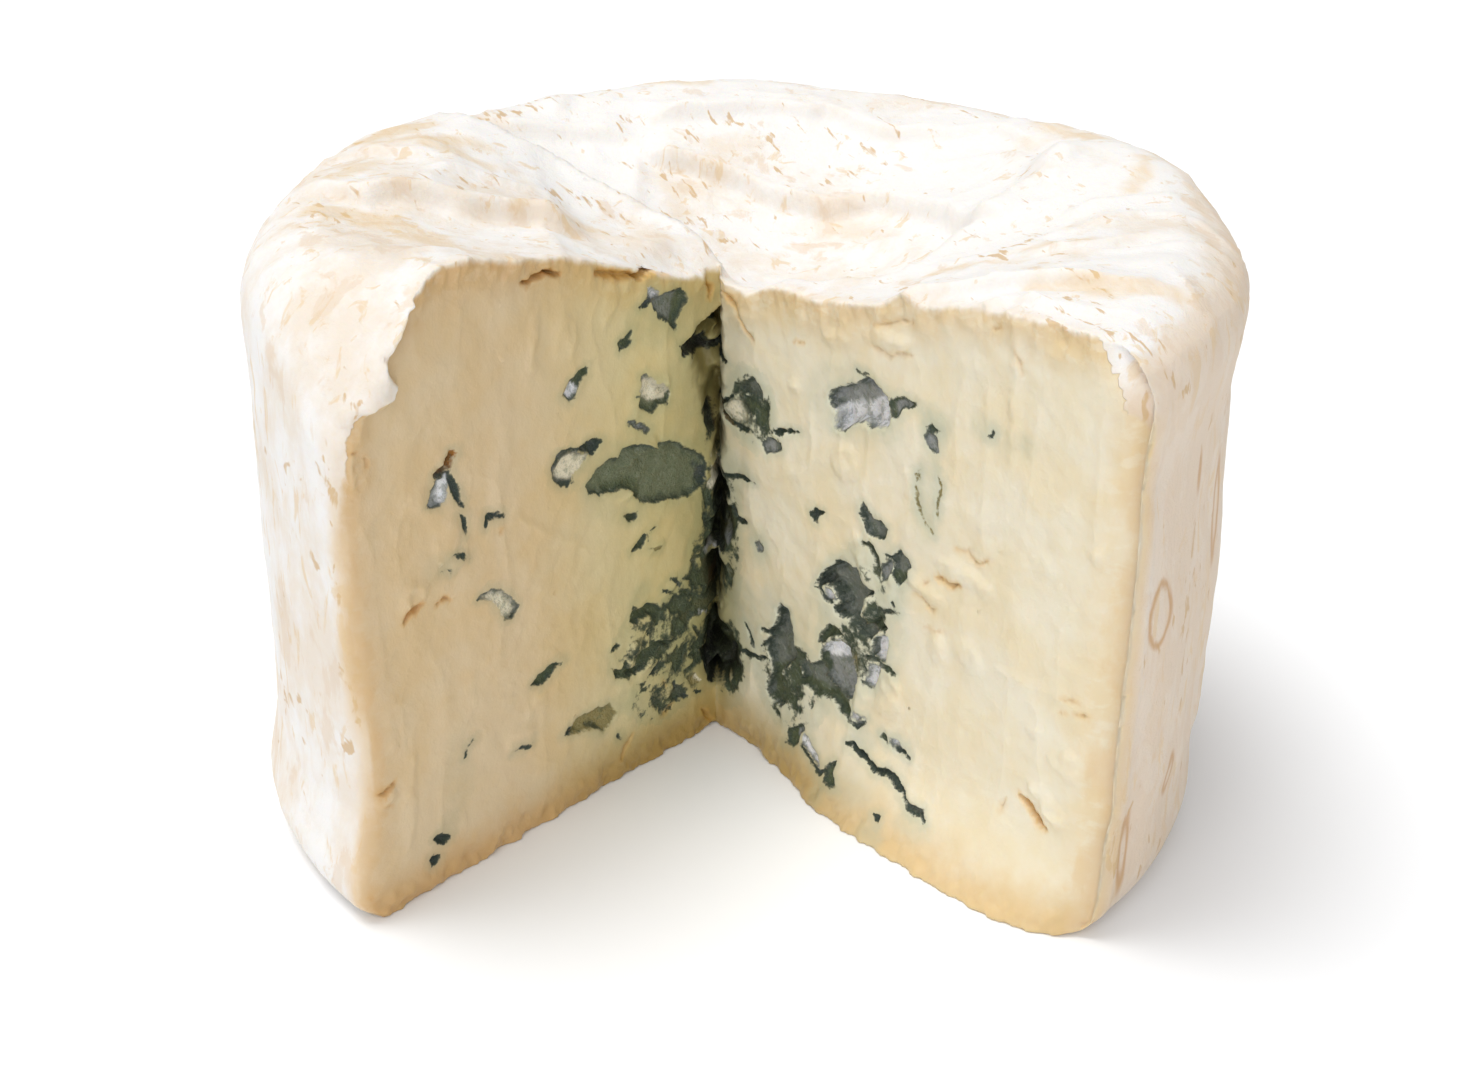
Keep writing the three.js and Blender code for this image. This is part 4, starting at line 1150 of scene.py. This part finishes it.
def shape_cut_face(place, side, on_face, skin):
    """Moves one cut face's vertices and returns its colour fields."""
    along, out = on_cut_face(place, side)
    up = place[:, 2]
    edge, lining, fields = read_cut_marks(along, up, place, side)
    normal = np.append(cut_normal(side), 0)
    dragged = (1 - abs(hills(place * [1, 1, 0.35] + hills(place, 5, 121)[:, None], 3.6, 120))) ** 4
    smears = (1 - abs(hills(place + 1.5 * hills(place, 4, 122)[:, None], 2.8, 123))) ** 6
    wavy = 0.25 * rough_hills(place, 9, 90) + 0.09 * rough_hills(place, 1.4, 94)
    wavy = wavy + 0.14 * dragged + 0.05 * smears
    wavy *= 0.15 + 0.85 * np.maximum(smooth_step(skin, 0.2, 3), smooth_step(up, 46, 54))
    foot = smooth_step(up, 4, 0.8)
    wavy += foot * (0.5 * rough_hills(place, 2.2, 97) + 0.25 * hills(place, 0.8, 98) + 0.1)
    under_rind = smooth_step(skin, 4.5, 0.6) * smooth_step(up, 40, 50)
    wavy += under_rind * (0.7 * rough_hills(place * [1, 1, 0.7], 1.8, 100) + 0.1)
    shape = (fields["raised"] - fields["push"] + wavy) * on_face
    move = normal * shape[:, None]
    width = np.interp(up, *(CREVICE_LEFT if side < 0 else CREVICE_RIGHT))
    crevice = along - width - 0.5 * hills(place, 1.3, 81) - 0.3 * hills(place, 0.6, 82)
    uneven = 0.7 + 0.5 * hills(place, 1.6, 99)
    back = CREVICE_DEPTH * smooth_step(-crevice, -0.1, 1.2) * uneven * on_face
    move[:, 1] += np.clip(back, 0, None)
    return move, edge, lining, fields | {"crevice": np.clip(back / CREVICE_DEPTH, 0, 1)}


face_masks = {}
for side in (-1, 1):
    along, out = side_facts[side]
    face_masks[side] = smooth_step(-abs(out), -0.6, -0.15) * (along > -0.2)

edge = np.full(len(rest), FAR)
lining = np.tile(np.array(LININGS["ink"][0]), (len(rest), 1))
marks = {name: np.zeros(len(rest)) for name in ("push", "amber", "raised", "stain", "rim", "crevice")}
move = np.zeros((len(rest), 3))
for side in (-1, 1):
    chosen = np.flatnonzero(face_masks[side] > 0)
    part_move, part_edge, part_lining, part_marks = shape_cut_face(
        wheel_places[chosen], side, face_masks[side][chosen], skin[chosen]
    )
    nearer = part_edge < edge[chosen]
    edge[chosen[nearer]] = part_edge[nearer]
    lining[chosen[nearer]] = part_lining[nearer]
    for name, values in part_marks.items():
        marks[name][chosen] = np.maximum(marks[name][chosen], values)
    move[chosen] += part_move
print("pushed in by up to", round(float(np.abs(move).max()), 1), "mm")

# %% The flap and the bowed foot
def bow_cut_foot(place, along, out):
    """The base of the right cut has sagged forward, most in the middle of its length."""
    near = np.exp(-((np.clip(out, None, 0) / 7) ** 2))
    rise = np.clip(1 - place[:, 2] / 13, 0, 1) ** 2
    middle = smooth_step(along, 4, 26) * smooth_step(along, 60, 44)
    return 4.6 * near * rise * middle * (out > -20)


# The flap's outline on the left cut face: along and up.
FLAP = [
    (42.4, 72), (43.2, 66), (45.4, 62), (47.6, 58.8), (46.2, 57), (47, 55.1), (50, 54.6), (53, 54.2),
    (64, 53.6), (64, 72),
]


def lap_flap(place, along, out):
    """At the upper left corner a thick lap of rind hangs over the cut edge."""
    near = np.exp(-((np.clip(out, None, 0) / 6) ** 2))
    ragged = 0.5 * rough_hills(place, 2, 111)
    distance = only_near(from_outline, along + ragged, place[:, 2] + ragged, FLAP)
    return smooth_step(-distance, -0.2, 1.0) * near


FLAP_THICKNESS = 1.6
LEFT_SMEAR = 0.6  # how far the paste was smeared round each upright corner, in millimetres
RIGHT_SMEAR = 2.4

right_along, right_out = side_facts[1]
left_along, left_out = side_facts[-1]
move += np.append(cut_normal(1), 0) * bow_cut_foot(wheel_places, right_along, right_out)[:, None]
flap = lap_flap(wheel_places, left_along, left_out)
move += np.append(cut_normal(-1), 0) * (FLAP_THICKNESS * flap)[:, None]
cut_share = np.maximum(face_masks[-1], face_masks[1])
behind_left = np.where(left_along > 0, -left_out, FAR)
behind_right = np.where(right_along > 0, -right_out, FAR)
behind_cut = np.clip(np.minimum(abs(behind_left), abs(behind_right)), 0, 4)
from_rind = np.where(cut_share > 0.5, skin, -behind_cut) - 0.4
for along, out, smear in ((left_along, left_out, LEFT_SMEAR), (right_along, right_out, RIGHT_SMEAR)):
    smeared = smear + out + 1.1 * rough_hills(rest * [1, 1, 0.5], 5, 130)
    smeared = smeared - 5 * smooth_step(rest[:, 2], 56, 61)
    at_corner = (along > 46) & (out < 0.3) & (out > -12) & (skin < 6)
    from_rind = np.where(at_corner, np.maximum(from_rind, np.clip(smeared, -4, 2)), from_rind)
from_rind = from_rind * (1 - flap) - 2 * flap
wheel_places = wheel_places + move
wheel_places[:, 2] = np.maximum(wheel_places[:, 2], 0)
write_places(wheel, wheel_places)
print("shaped", wheel_places.min(0).round(1), wheel_places.max(0).round(1))

# %% [markdown]
# ## Marks for the material
#
# The material has to know where the pockets are, so what the sculpting worked out is stored on the
# vertices: the distance to the nearest pocket's edge, the colour of its lining, how amber a crack
# is, how deep below the rind a place lies, where the rind is beige or rubbed, and where shade is
# painted in: at the feet of the folds, in the crevice, near the apex and on the left cut face. The
# decimation that follows keeps them, but it thins the rind most, so only broad marks last there.

# %% Marks for the material
RIND_SCARS = [
    # middle seen from above, length, width, lean in degrees: rubbed patches on the top
    ((-34, 14), 6.5, 1.3, 8),
    ((-38.5, 18), 5, 2.2, 40),
    ((-31, 11), 4, 0.7, -10),
    ((-37, -8), 8, 2.2, -18),
    ((-29, -14), 5, 1.6, -30),
    ((-41, 4), 4, 1.2, 60),
    ((-19, 3), 4, 0.6, 30),
    ((36, 24), 5, 1.2, -60),
    ((41, 8), 4.5, 0.8, 70),
    ((-8, 44), 4, 1.4, 0),
    ((22, -7), 5, 0.7, -25),
    ((30, -8), 4, 0.6, -20),
    ((33, -22), 7, 1.4, -20),
    ((19, 3), 2.2, 0.8, 60),
]


def store_number(obj, name, values):
    obj.data.attributes.new(name, "FLOAT", "POINT").data.foreach_set("value", values.astype(np.float32))


def store_colour(obj, name, values):
    four = np.ones((len(values), 4), np.float32)
    four[:, :3] = values
    obj.data.attributes.new(name, "FLOAT_COLOR", "POINT").data.foreach_set("color", four.ravel())


store_number(wheel, "pocket_edge", edge)
for name in ("amber", "stain", "rim", "crevice"):
    store_number(wheel, name, marks[name] * cut_share)
store_number(wheel, "skin", skin)
store_number(wheel, "paste", from_rind)
store_number(wheel, "from_base", from_base)
print("stored", [a.name for a in wheel.data.attributes if a.name in (*marks, "pocket_edge", "skin", "paste")])

# %% Painted shade near the apex and on the left cut face
upright = np.maximum(smooth_step(left_along, 46, 50), smooth_step(right_along, 46, 50))
store_number(wheel, "corner", upright * smooth_step(rest[:, 2], 56, 48))
# The left cut face stands in the lamp's shade; its paste is painted darker and warmer there, and yellower
# towards the apex.
on_left = smooth_step(-abs(left_out), -6, -3) * (left_along > -0.2) * (abs(left_out) < abs(right_out))
store_number(wheel, "left_face_shade", on_left)
store_number(wheel, "inner", smooth_step(left_along, 34, 8))
# Painted shade: the paste darkens near the apex, where the cut faces meet, and along the foot close to it;
# near the apex on the left it also stands for some olive staining.
near_apex = np.minimum(np.hypot(*(rest[:, :2] - APEX).T), 60)
low_part = 0.35 + 0.65 * smooth_step(rest[:, 2], 34, 18)
left_shade = smooth_step(near_apex, 12, 1) * 0.55
right_shade = smooth_step(near_apex, 7, 0.5) * low_part
shade = np.where(rest[:, 0] < APEX[0], left_shade, right_shade)
shade = np.maximum(shade, 0.9 * smooth_step(rest[:, 2], 10, 1) * smooth_step(near_apex, 34, 12))
store_number(wheel, "shade", shade * smooth_step(rest[:, 2], 58, 52))
print("shaded", round(float((shade > 0.1).mean()), 3), "of the vertices")

# %% Beige and rubbed rind, and painted shade at the feet of the folds
radius = np.hypot(rest[:, 0], rest[:, 1])
on_side = smooth_step(radius, 44, 50)
from_above = rest[:, :2]
beige = 0.35 * on_side + 0.85 * on_side * smooth_step(rest[:, 0], 15, 45)
beige += 0.5 * patch(from_above, (-37, -4), 15) * (1 - on_side)
beige += 0.15 * smooth_step(rest[:, 0], -13, -11.5) * patch(from_above, (-2, 14), 16)
beige -= 0.9 * smooth_step(rest[:, 0], -11.5, -13) * patch(from_above, (-20, 24), 9)
beige -= 0.25 * smooth_step(rest[:, 0], 12, 30) * (1 - on_side)
store_number(wheel, "beige", beige)
# Painted shade at the feet of the folds on top
store_number(wheel, "fold_foot_shade", crease_shade(rest) * smooth_step(rest[:, 2], 48, 54) * (1 - on_side))
mark = np.zeros(len(rest))
for middle, length, width, lean in RIND_SCARS:
    outside = from_ellipse(rest[:, 0], rest[:, 1], (*middle, length, width, lean))
    outside = outside + 0.8 * hills(rest, 1.8, 170)
    mark = np.maximum(mark, 0.7 * smooth_step(-outside, -0.8, 0.4) * smooth_step(rest[:, 2], 46, 52))
store_number(wheel, "mark", mark)
store_colour(wheel, "lining", lining)
print("rubbed patches", len(RIND_SCARS))

# %% Thinning the mesh
MOST_TRIANGLES = 196000

select_only(wheel)
bpy.ops.object.shade_smooth()
triangles = sum(len(face.vertices) - 2 for face in wheel.data.polygons)
if triangles > MOST_TRIANGLES:
    thin = wheel.modifiers.new("thin", "DECIMATE")
    thin.ratio = MOST_TRIANGLES / triangles
    bpy.ops.object.modifier_apply(modifier=thin.name)
print("triangles", triangles, "then", sum(len(f.vertices) - 2 for f in wheel.data.polygons))
print("marks", [a.name for a in wheel.data.attributes])

# %% [markdown]
# ## Writing a material as arithmetic
#
# A material is a graph of nodes, and most of its nodes are plain sums. The class below wraps a
# socket so that a sum can be written as one: `mask * 0.5 + 1` adds the two Math nodes and links
# them. Colours don't go through Math nodes, which would turn them grey, so they have `blend`.

# %% A small language for nodes
class Wire:
    """A node's output, which can be added, subtracted and multiplied like a number."""

    def __init__(self, graph, socket):
        self.graph = graph
        self.socket = socket

    def math(self, operation, other=0.0):
        return self.graph.node("ShaderNodeMath", {"operation": operation}, {0: self, 1: other})

    def __add__(self, other):
        return self.math("ADD", other)

    def __sub__(self, other):
        return self.math("SUBTRACT", other)

    def __mul__(self, other):
        return self.math("MULTIPLY", other)

    def __rsub__(self, other):
        return self.math("MULTIPLY", -1) + other

    __radd__ = __add__
    __rmul__ = __mul__

    def size(self):
        return self.math("ABSOLUTE")

    def ramp(self, start, end):
        """0 at start, 1 at end, eased between; start may be above end."""
        if start > end:
            return 1 - self.ramp(end, start)
        settings = {"interpolation_type": "SMOOTHSTEP", "clamp": True}
        values = {"Value": self, "From Min": start, "From Max": end, "To Min": 0.0, "To Max": 1.0}
        return self.graph.node("ShaderNodeMapRange", settings, values)


class Graph:
    """One material's node tree."""

    def __init__(self, name):
        self.material = bpy.data.materials.new(name)
        self.material.use_nodes = True
        self.tree = self.material.node_tree
        self.tree.nodes.clear()

    def node(self, kind, settings=None, values=None, output=0):
        made = self.tree.nodes.new(kind)
        for name, value in (settings or {}).items():
            setattr(made, name, value)
        for name, value in (values or {}).items():
            socket = made.inputs[name]
            if isinstance(value, Wire):
                self.tree.links.new(value.socket, socket)
            else:
                socket.default_value = value
        return Wire(self, made.outputs[output]) if made.outputs else made

    def blend(self, mask, first, second, kind="MIX"):
        """Mixes two colours; 0, 6 and 7 are the Mix node's sockets for the mask and the colours."""
        made = self.tree.nodes.new("ShaderNodeMix")
        made.data_type = "RGBA"
        made.blend_type = kind
        for index, value in ((0, mask), (6, first), (7, second)):
            if isinstance(value, Wire):
                self.tree.links.new(value.socket, made.inputs[index])
            elif index:
                made.inputs[index].default_value = tuple(value)[:3] + (1,)
            else:
                made.inputs[index].default_value = value
        return Wire(self, made.outputs[2])

    def attribute(self, name, colour=False):
        return self.node("ShaderNodeAttribute", {"attribute_name": name}, output=0 if colour else 2)

    def places(self):
        return self.node("ShaderNodeTexCoord", output=3)

    def stretched(self, places, size, turn=(0, 0, 0)):
        """Object coordinates turned, then measured in sizes, given in millimetres along each axis."""
        values = {"Vector": places, "Rotation": turn}
        turned = self.node("ShaderNodeMapping", {"vector_type": "POINT"}, values)
        scale = tuple(1 / (axis * MM) for axis in size)
        return self.node("ShaderNodeVectorMath", {"operation": "MULTIPLY"}, {0: turned, 1: scale})

    def noise(self, places, size=1.0, detail=3.0, roughness=0.55, distortion=0.0):
        """Random hills from 0 to 1; size is in millimetres when places are plain object coordinates."""
        values = {
            "Vector": places,
            "Scale": 1 / size,
            "Detail": detail,
            "Roughness": roughness,
            "Distortion": distortion,
        }
        return self.node("ShaderNodeTexNoise", {}, values)


print("node language ready")

# %% [markdown]
# ## Rind, paste and mould
#
# One material covers the whole wheel, because the three finishes run into each other: the rind is
# white and velvety with tan flecks, the paste under it goes from a tan band to cream, and the holes
# are lined with slate, green and white mould. Shade is painted into the colour too: in the crevice,
# near the apex, on the left cut face, at the feet of the folds and in some holes. The marks on the
# vertices say what is where, and fine noise is added to them before they are compared, so the
# borders are far more ragged than the mesh.

# %% The cheese material
CREAM = (0.77, 0.675, 0.475)
PALE_CREAM = (0.785, 0.73, 0.585)
TAN_BAND = (0.66, 0.46, 0.21)
# These two tints are painted shade on the left cut face's paste, the second near the apex
SHADED_TINT = (0.83, 0.71, 0.57)
INNER_SHADED_TINT = (0.82, 0.77, 0.53)
RIND_WHITE = (0.82, 0.805, 0.785)
RIND_BEIGE = (0.76, 0.675, 0.575)
RIND_TAN = (0.7, 0.56, 0.42)
# Painted shade near the apex and along the foot, with some olive staining
DEEP_SHADE_TINT = (0.6, 0.55, 0.36)
BORDER_TAN = (0.7, 0.5, 0.25)
MARK_BROWN = (0.55, 0.33, 0.16)
FLECK = (0.6, 0.42, 0.23)
DARK_RIM = (0.025, 0.04, 0.028)
MOULD_GREEN = (0.09, 0.12, 0.06)
# Painted shade for the crevice between the cuts
PAINTED_CREVICE_SHADE = (0.4, 0.36, 0.2)
# Painted shade at the feet of the folds on top
PAINTED_FOLD_SHADE = (0.86, 0.79, 0.71)
HALO = (0.46, 0.5, 0.39)
AMBER = (0.68, 0.4, 0.11)


def paste_colour(g, millimetres, edge, skin, from_base):
    mottle = g.noise(g.stretched(millimetres, (9, 9, 9)), 1, 4, 0.6)
    fine = g.noise(g.stretched(millimetres, (1.3, 1.3, 1.3)), 1, 3, 0.6)
    colour = g.blend(mottle.ramp(0.35, 0.65), CREAM, PALE_CREAM)
    wander = (mottle - 0.5) * 3.0 + (fine - 0.5) * 1.2
    near_rind = (skin + wander).ramp(6.0, 0.8)
    band = near_rind * (0.55 - 0.25 * g.attribute("corner"))
    colour = g.blend(band, colour, TAN_BAND)
    crumble = g.noise(g.stretched(millimetres, (2.4, 2.4, 1.4)), 1, 4, 0.6, 0.3)
    colour = g.blend(near_rind * crumble.ramp(0.48, 0.62) * 0.45, colour, PALE_CREAM)
    foot = (from_base + wander).ramp(6.5, 0.5) * 0.8
    colour = g.blend(foot, colour, TAN_BAND)
    halo = (edge + (fine - 0.5) * 0.8).ramp(1.3, 0.0) * 0.45
    return g.blend(halo, colour, HALO)

# %% Paste and rind
RIND_RINGS = [
    # middle, half length, half height, thickness as a share: damp marks dried into the side
    ((39.6, -31.3, 35), 2.2, 3.2, 0.16),
    ((47.4, -17.5, 39), 0.8, 5.0, 0.4),
    ((44.3, -24.2, 47), 0.6, 2.2, 0.5),
    ((38.6, -32.7, 9), 0.7, 4.0, 0.4),
    ((43.5, -25.7, 14), 1.2, 2.4, 0.3),
]


def rind_colour(g, millimetres):
    cloud = g.noise(g.stretched(millimetres, (13, 13, 19)), 1, 5, 0.65)
    beige = g.attribute("beige")
    colour = g.blend((cloud + beige * 0.22).ramp(0.46, 0.66) * 0.9, RIND_WHITE, RIND_BEIGE)
    colour = g.blend((beige + (cloud - 0.5) * 0.5).ramp(0.6, 1.2) * 0.55, colour, RIND_TAN)
    drips = g.noise(g.stretched(millimetres, (2.4, 2.4, 8)), 1, 4, 0.6, 0.8)
    colour = g.blend((drips + beige * 0.05).ramp(0.6, 0.68) * 0.5, colour, BORDER_TAN)
    smears = g.noise(g.stretched(millimetres, (4, 4, 9)), 1, 4, 0.6, 0.5)
    colour = g.blend((smears + (cloud - 0.5) * 0.4 + beige * 0.13).ramp(0.6, 0.68) * 0.5, colour, RIND_TAN)
    where = g.noise(g.stretched(millimetres, (14, 14, 14)), 1, 2, 0.5)
    long_way = g.stretched(millimetres, (1.0, 3.4, 3.0), (0, 0, math.radians(-32)))
    flecks = g.noise(long_way, 1, 3, 0.5, 0.4)
    fleck = (flecks + (where - 0.5) * 0.45).ramp(0.66, 0.73)
    colour = g.blend(fleck * 0.85, colour, FLECK)
    colour = g.blend(g.attribute("mark") * (flecks + 0.15), colour, BORDER_TAN)
    for (x, y, z), half_length, half_height, thickness in RIND_RINGS:
        size = (half_length, half_length, half_height)
        middle = (x / half_length, (y + axis_y / MM) / half_length, z / half_height)
        ends = {0: g.stretched(millimetres, size), 1: middle}
        away = g.node("ShaderNodeVectorMath", {"operation": "DISTANCE"}, ends, output=1)
        ring = (away + (smears - 0.5) * 0.9 - 1).size().ramp(thickness * 1.6, 0)
        colour = g.blend(ring * 0.85, colour, MARK_BROWN)
    # Painted shade at the feet of the folds on top
    return g.blend(g.attribute("fold_foot_shade") * cloud * 0.5, colour, PAINTED_FOLD_SHADE, "MULTIPLY")

# %% The whole cheese
def make_cheese():
    g = Graph("blue_cheese")
    places = g.places()
    edge = g.attribute("pocket_edge")
    skin = g.attribute("skin")
    from_base = g.attribute("from_base")
    corner = g.attribute("corner")
    amber = g.attribute("amber")
    stain = g.attribute("stain")
    rim_strength = g.attribute("rim")
    grit = g.noise(g.stretched(places, (0.4, 0.4, 0.4)), 1, 3, 0.6) - 0.5
    crumbs = g.noise(g.stretched(places, (1.1, 1.1, 1.1)), 1, 3, 0.6) - 0.5
    ragged_edge = edge + grit * 0.5 + crumbs * 0.5

    paste = paste_colour(g, places, ragged_edge, skin, from_base)
    paste = g.blend(stain * (crumbs + 0.8) * 0.8, paste, HALO)
    # Painted shade near the apex and along the foot, with some olive staining on the left.
    paste = g.blend(g.attribute("shade"), paste, DEEP_SHADE_TINT, "MULTIPLY")
    rind = rind_colour(g, places)
    patches = g.noise(g.stretched(places, (3, 3, 4)), 1, 4, 0.65) - 0.5
    inward = g.attribute("paste") + patches * (0.8 + 1.6 * corner)
    is_paste = inward.ramp(-0.35, 0.45) * (1 - corner) + inward.ramp(-1.3, 1.5) * corner
    colour = g.blend(is_paste, rind, paste)
    border = (inward.size() + patches * 3).ramp(2.2, 0.3) * (0.2 + 0.3 * corner)
    colour = g.blend(border, colour, BORDER_TAN)
    colour = g.blend(amber * 0.7, colour, AMBER)
    # Painted shade on the left cut face: its paste is multiplied by a warm shaded tint, yellower towards the
    # apex.
    left_face_shade = g.attribute("left_face_shade")
    shaded = g.blend(g.attribute("inner"), SHADED_TINT, INNER_SHADED_TINT)
    colour = g.blend(left_face_shade * is_paste, colour, shaded, "MULTIPLY")

    inside = ragged_edge.ramp(0.12, -0.12)
    fuzz = g.noise(g.stretched(places, (0.3, 0.3, 1.1), (0.5, 0.6, 0)), 1, 3, 0.7)
    lining = g.attribute("lining", colour=True)
    lining = g.blend(fuzz.ramp(0.52, 0.8) * 0.4, lining, (0.04, 0.05, 0.045))
    lining = g.blend(fuzz.ramp(0.46, 0.25) * 0.3, lining, (0.5, 0.52, 0.45))
    mottle = g.noise(g.stretched(places, (0.9, 0.9, 0.9)), 1, 4, 0.65)
    lining = g.blend(mottle.ramp(0.5, 0.62) * 0.4, lining, MOULD_GREEN)
    wall = (ragged_edge + (mottle - 0.5) * 1.2).ramp(-0.75, -0.05) * rim_strength
    lining = g.blend(wall * 0.75, lining, DARK_RIM)
    colour = g.blend(inside, colour, lining)
    patchy = g.noise(g.stretched(places, (1.8, 1.8, 1.8)), 1, 2, 0.5).ramp(0.34, 0.5)
    rim = (ragged_edge + 0.06).size().ramp(0.22, 0.05) * patchy
    colour = g.blend(rim * rim_strength, colour, DARK_RIM)
    # Painted shade: the crevice between the cuts is multiplied darker the further back it goes.
    colour = g.blend(g.attribute("crevice").ramp(0.05, 0.6) * 0.8, colour, PAINTED_CREVICE_SHADE, "MULTIPLY")

    velvet = g.noise(g.stretched(places, (0.25, 0.25, 0.25)), 1, 3, 0.6)
    wrinkle = g.noise(g.stretched(places, (2.6, 2.6, 3.4)), 1, 5, 0.6, 0.6)
    relief = (1 - is_paste) * (wrinkle * 0.35 + velvet * 0.06) + is_paste * (wrinkle * 0.14 + crumbs * 0.1)
    relief = relief + inside * grit * 0.5
    bump = g.node("ShaderNodeBump", {}, {"Strength": 0.8, "Distance": 0.8 * MM, "Height": relief})
    roughness = is_paste * -0.22 + 0.62 + inside * 0.2 + crumbs * 0.1
    shader = g.node("ShaderNodeBsdfPrincipled", {}, {
        "Base Color": colour,
        "Roughness": roughness,
        "Normal": bump,
        "Subsurface Weight": 0.25,
        "Subsurface Radius": (1.0, 0.7, 0.4),
        "Subsurface Scale": 1.6 * MM,
        "IOR": 1.42,
    })
    g.node("ShaderNodeOutputMaterial", {}, {"Surface": shader})
    return g.material


wheel.data.materials.clear()
wheel.data.materials.append(make_cheese())
for face in wheel.data.polygons:
    face.material_index = 0
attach(wheel, "root")
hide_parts("cheese_wheel")
print("material nodes", len(wheel.data.materials[0].node_tree.nodes))
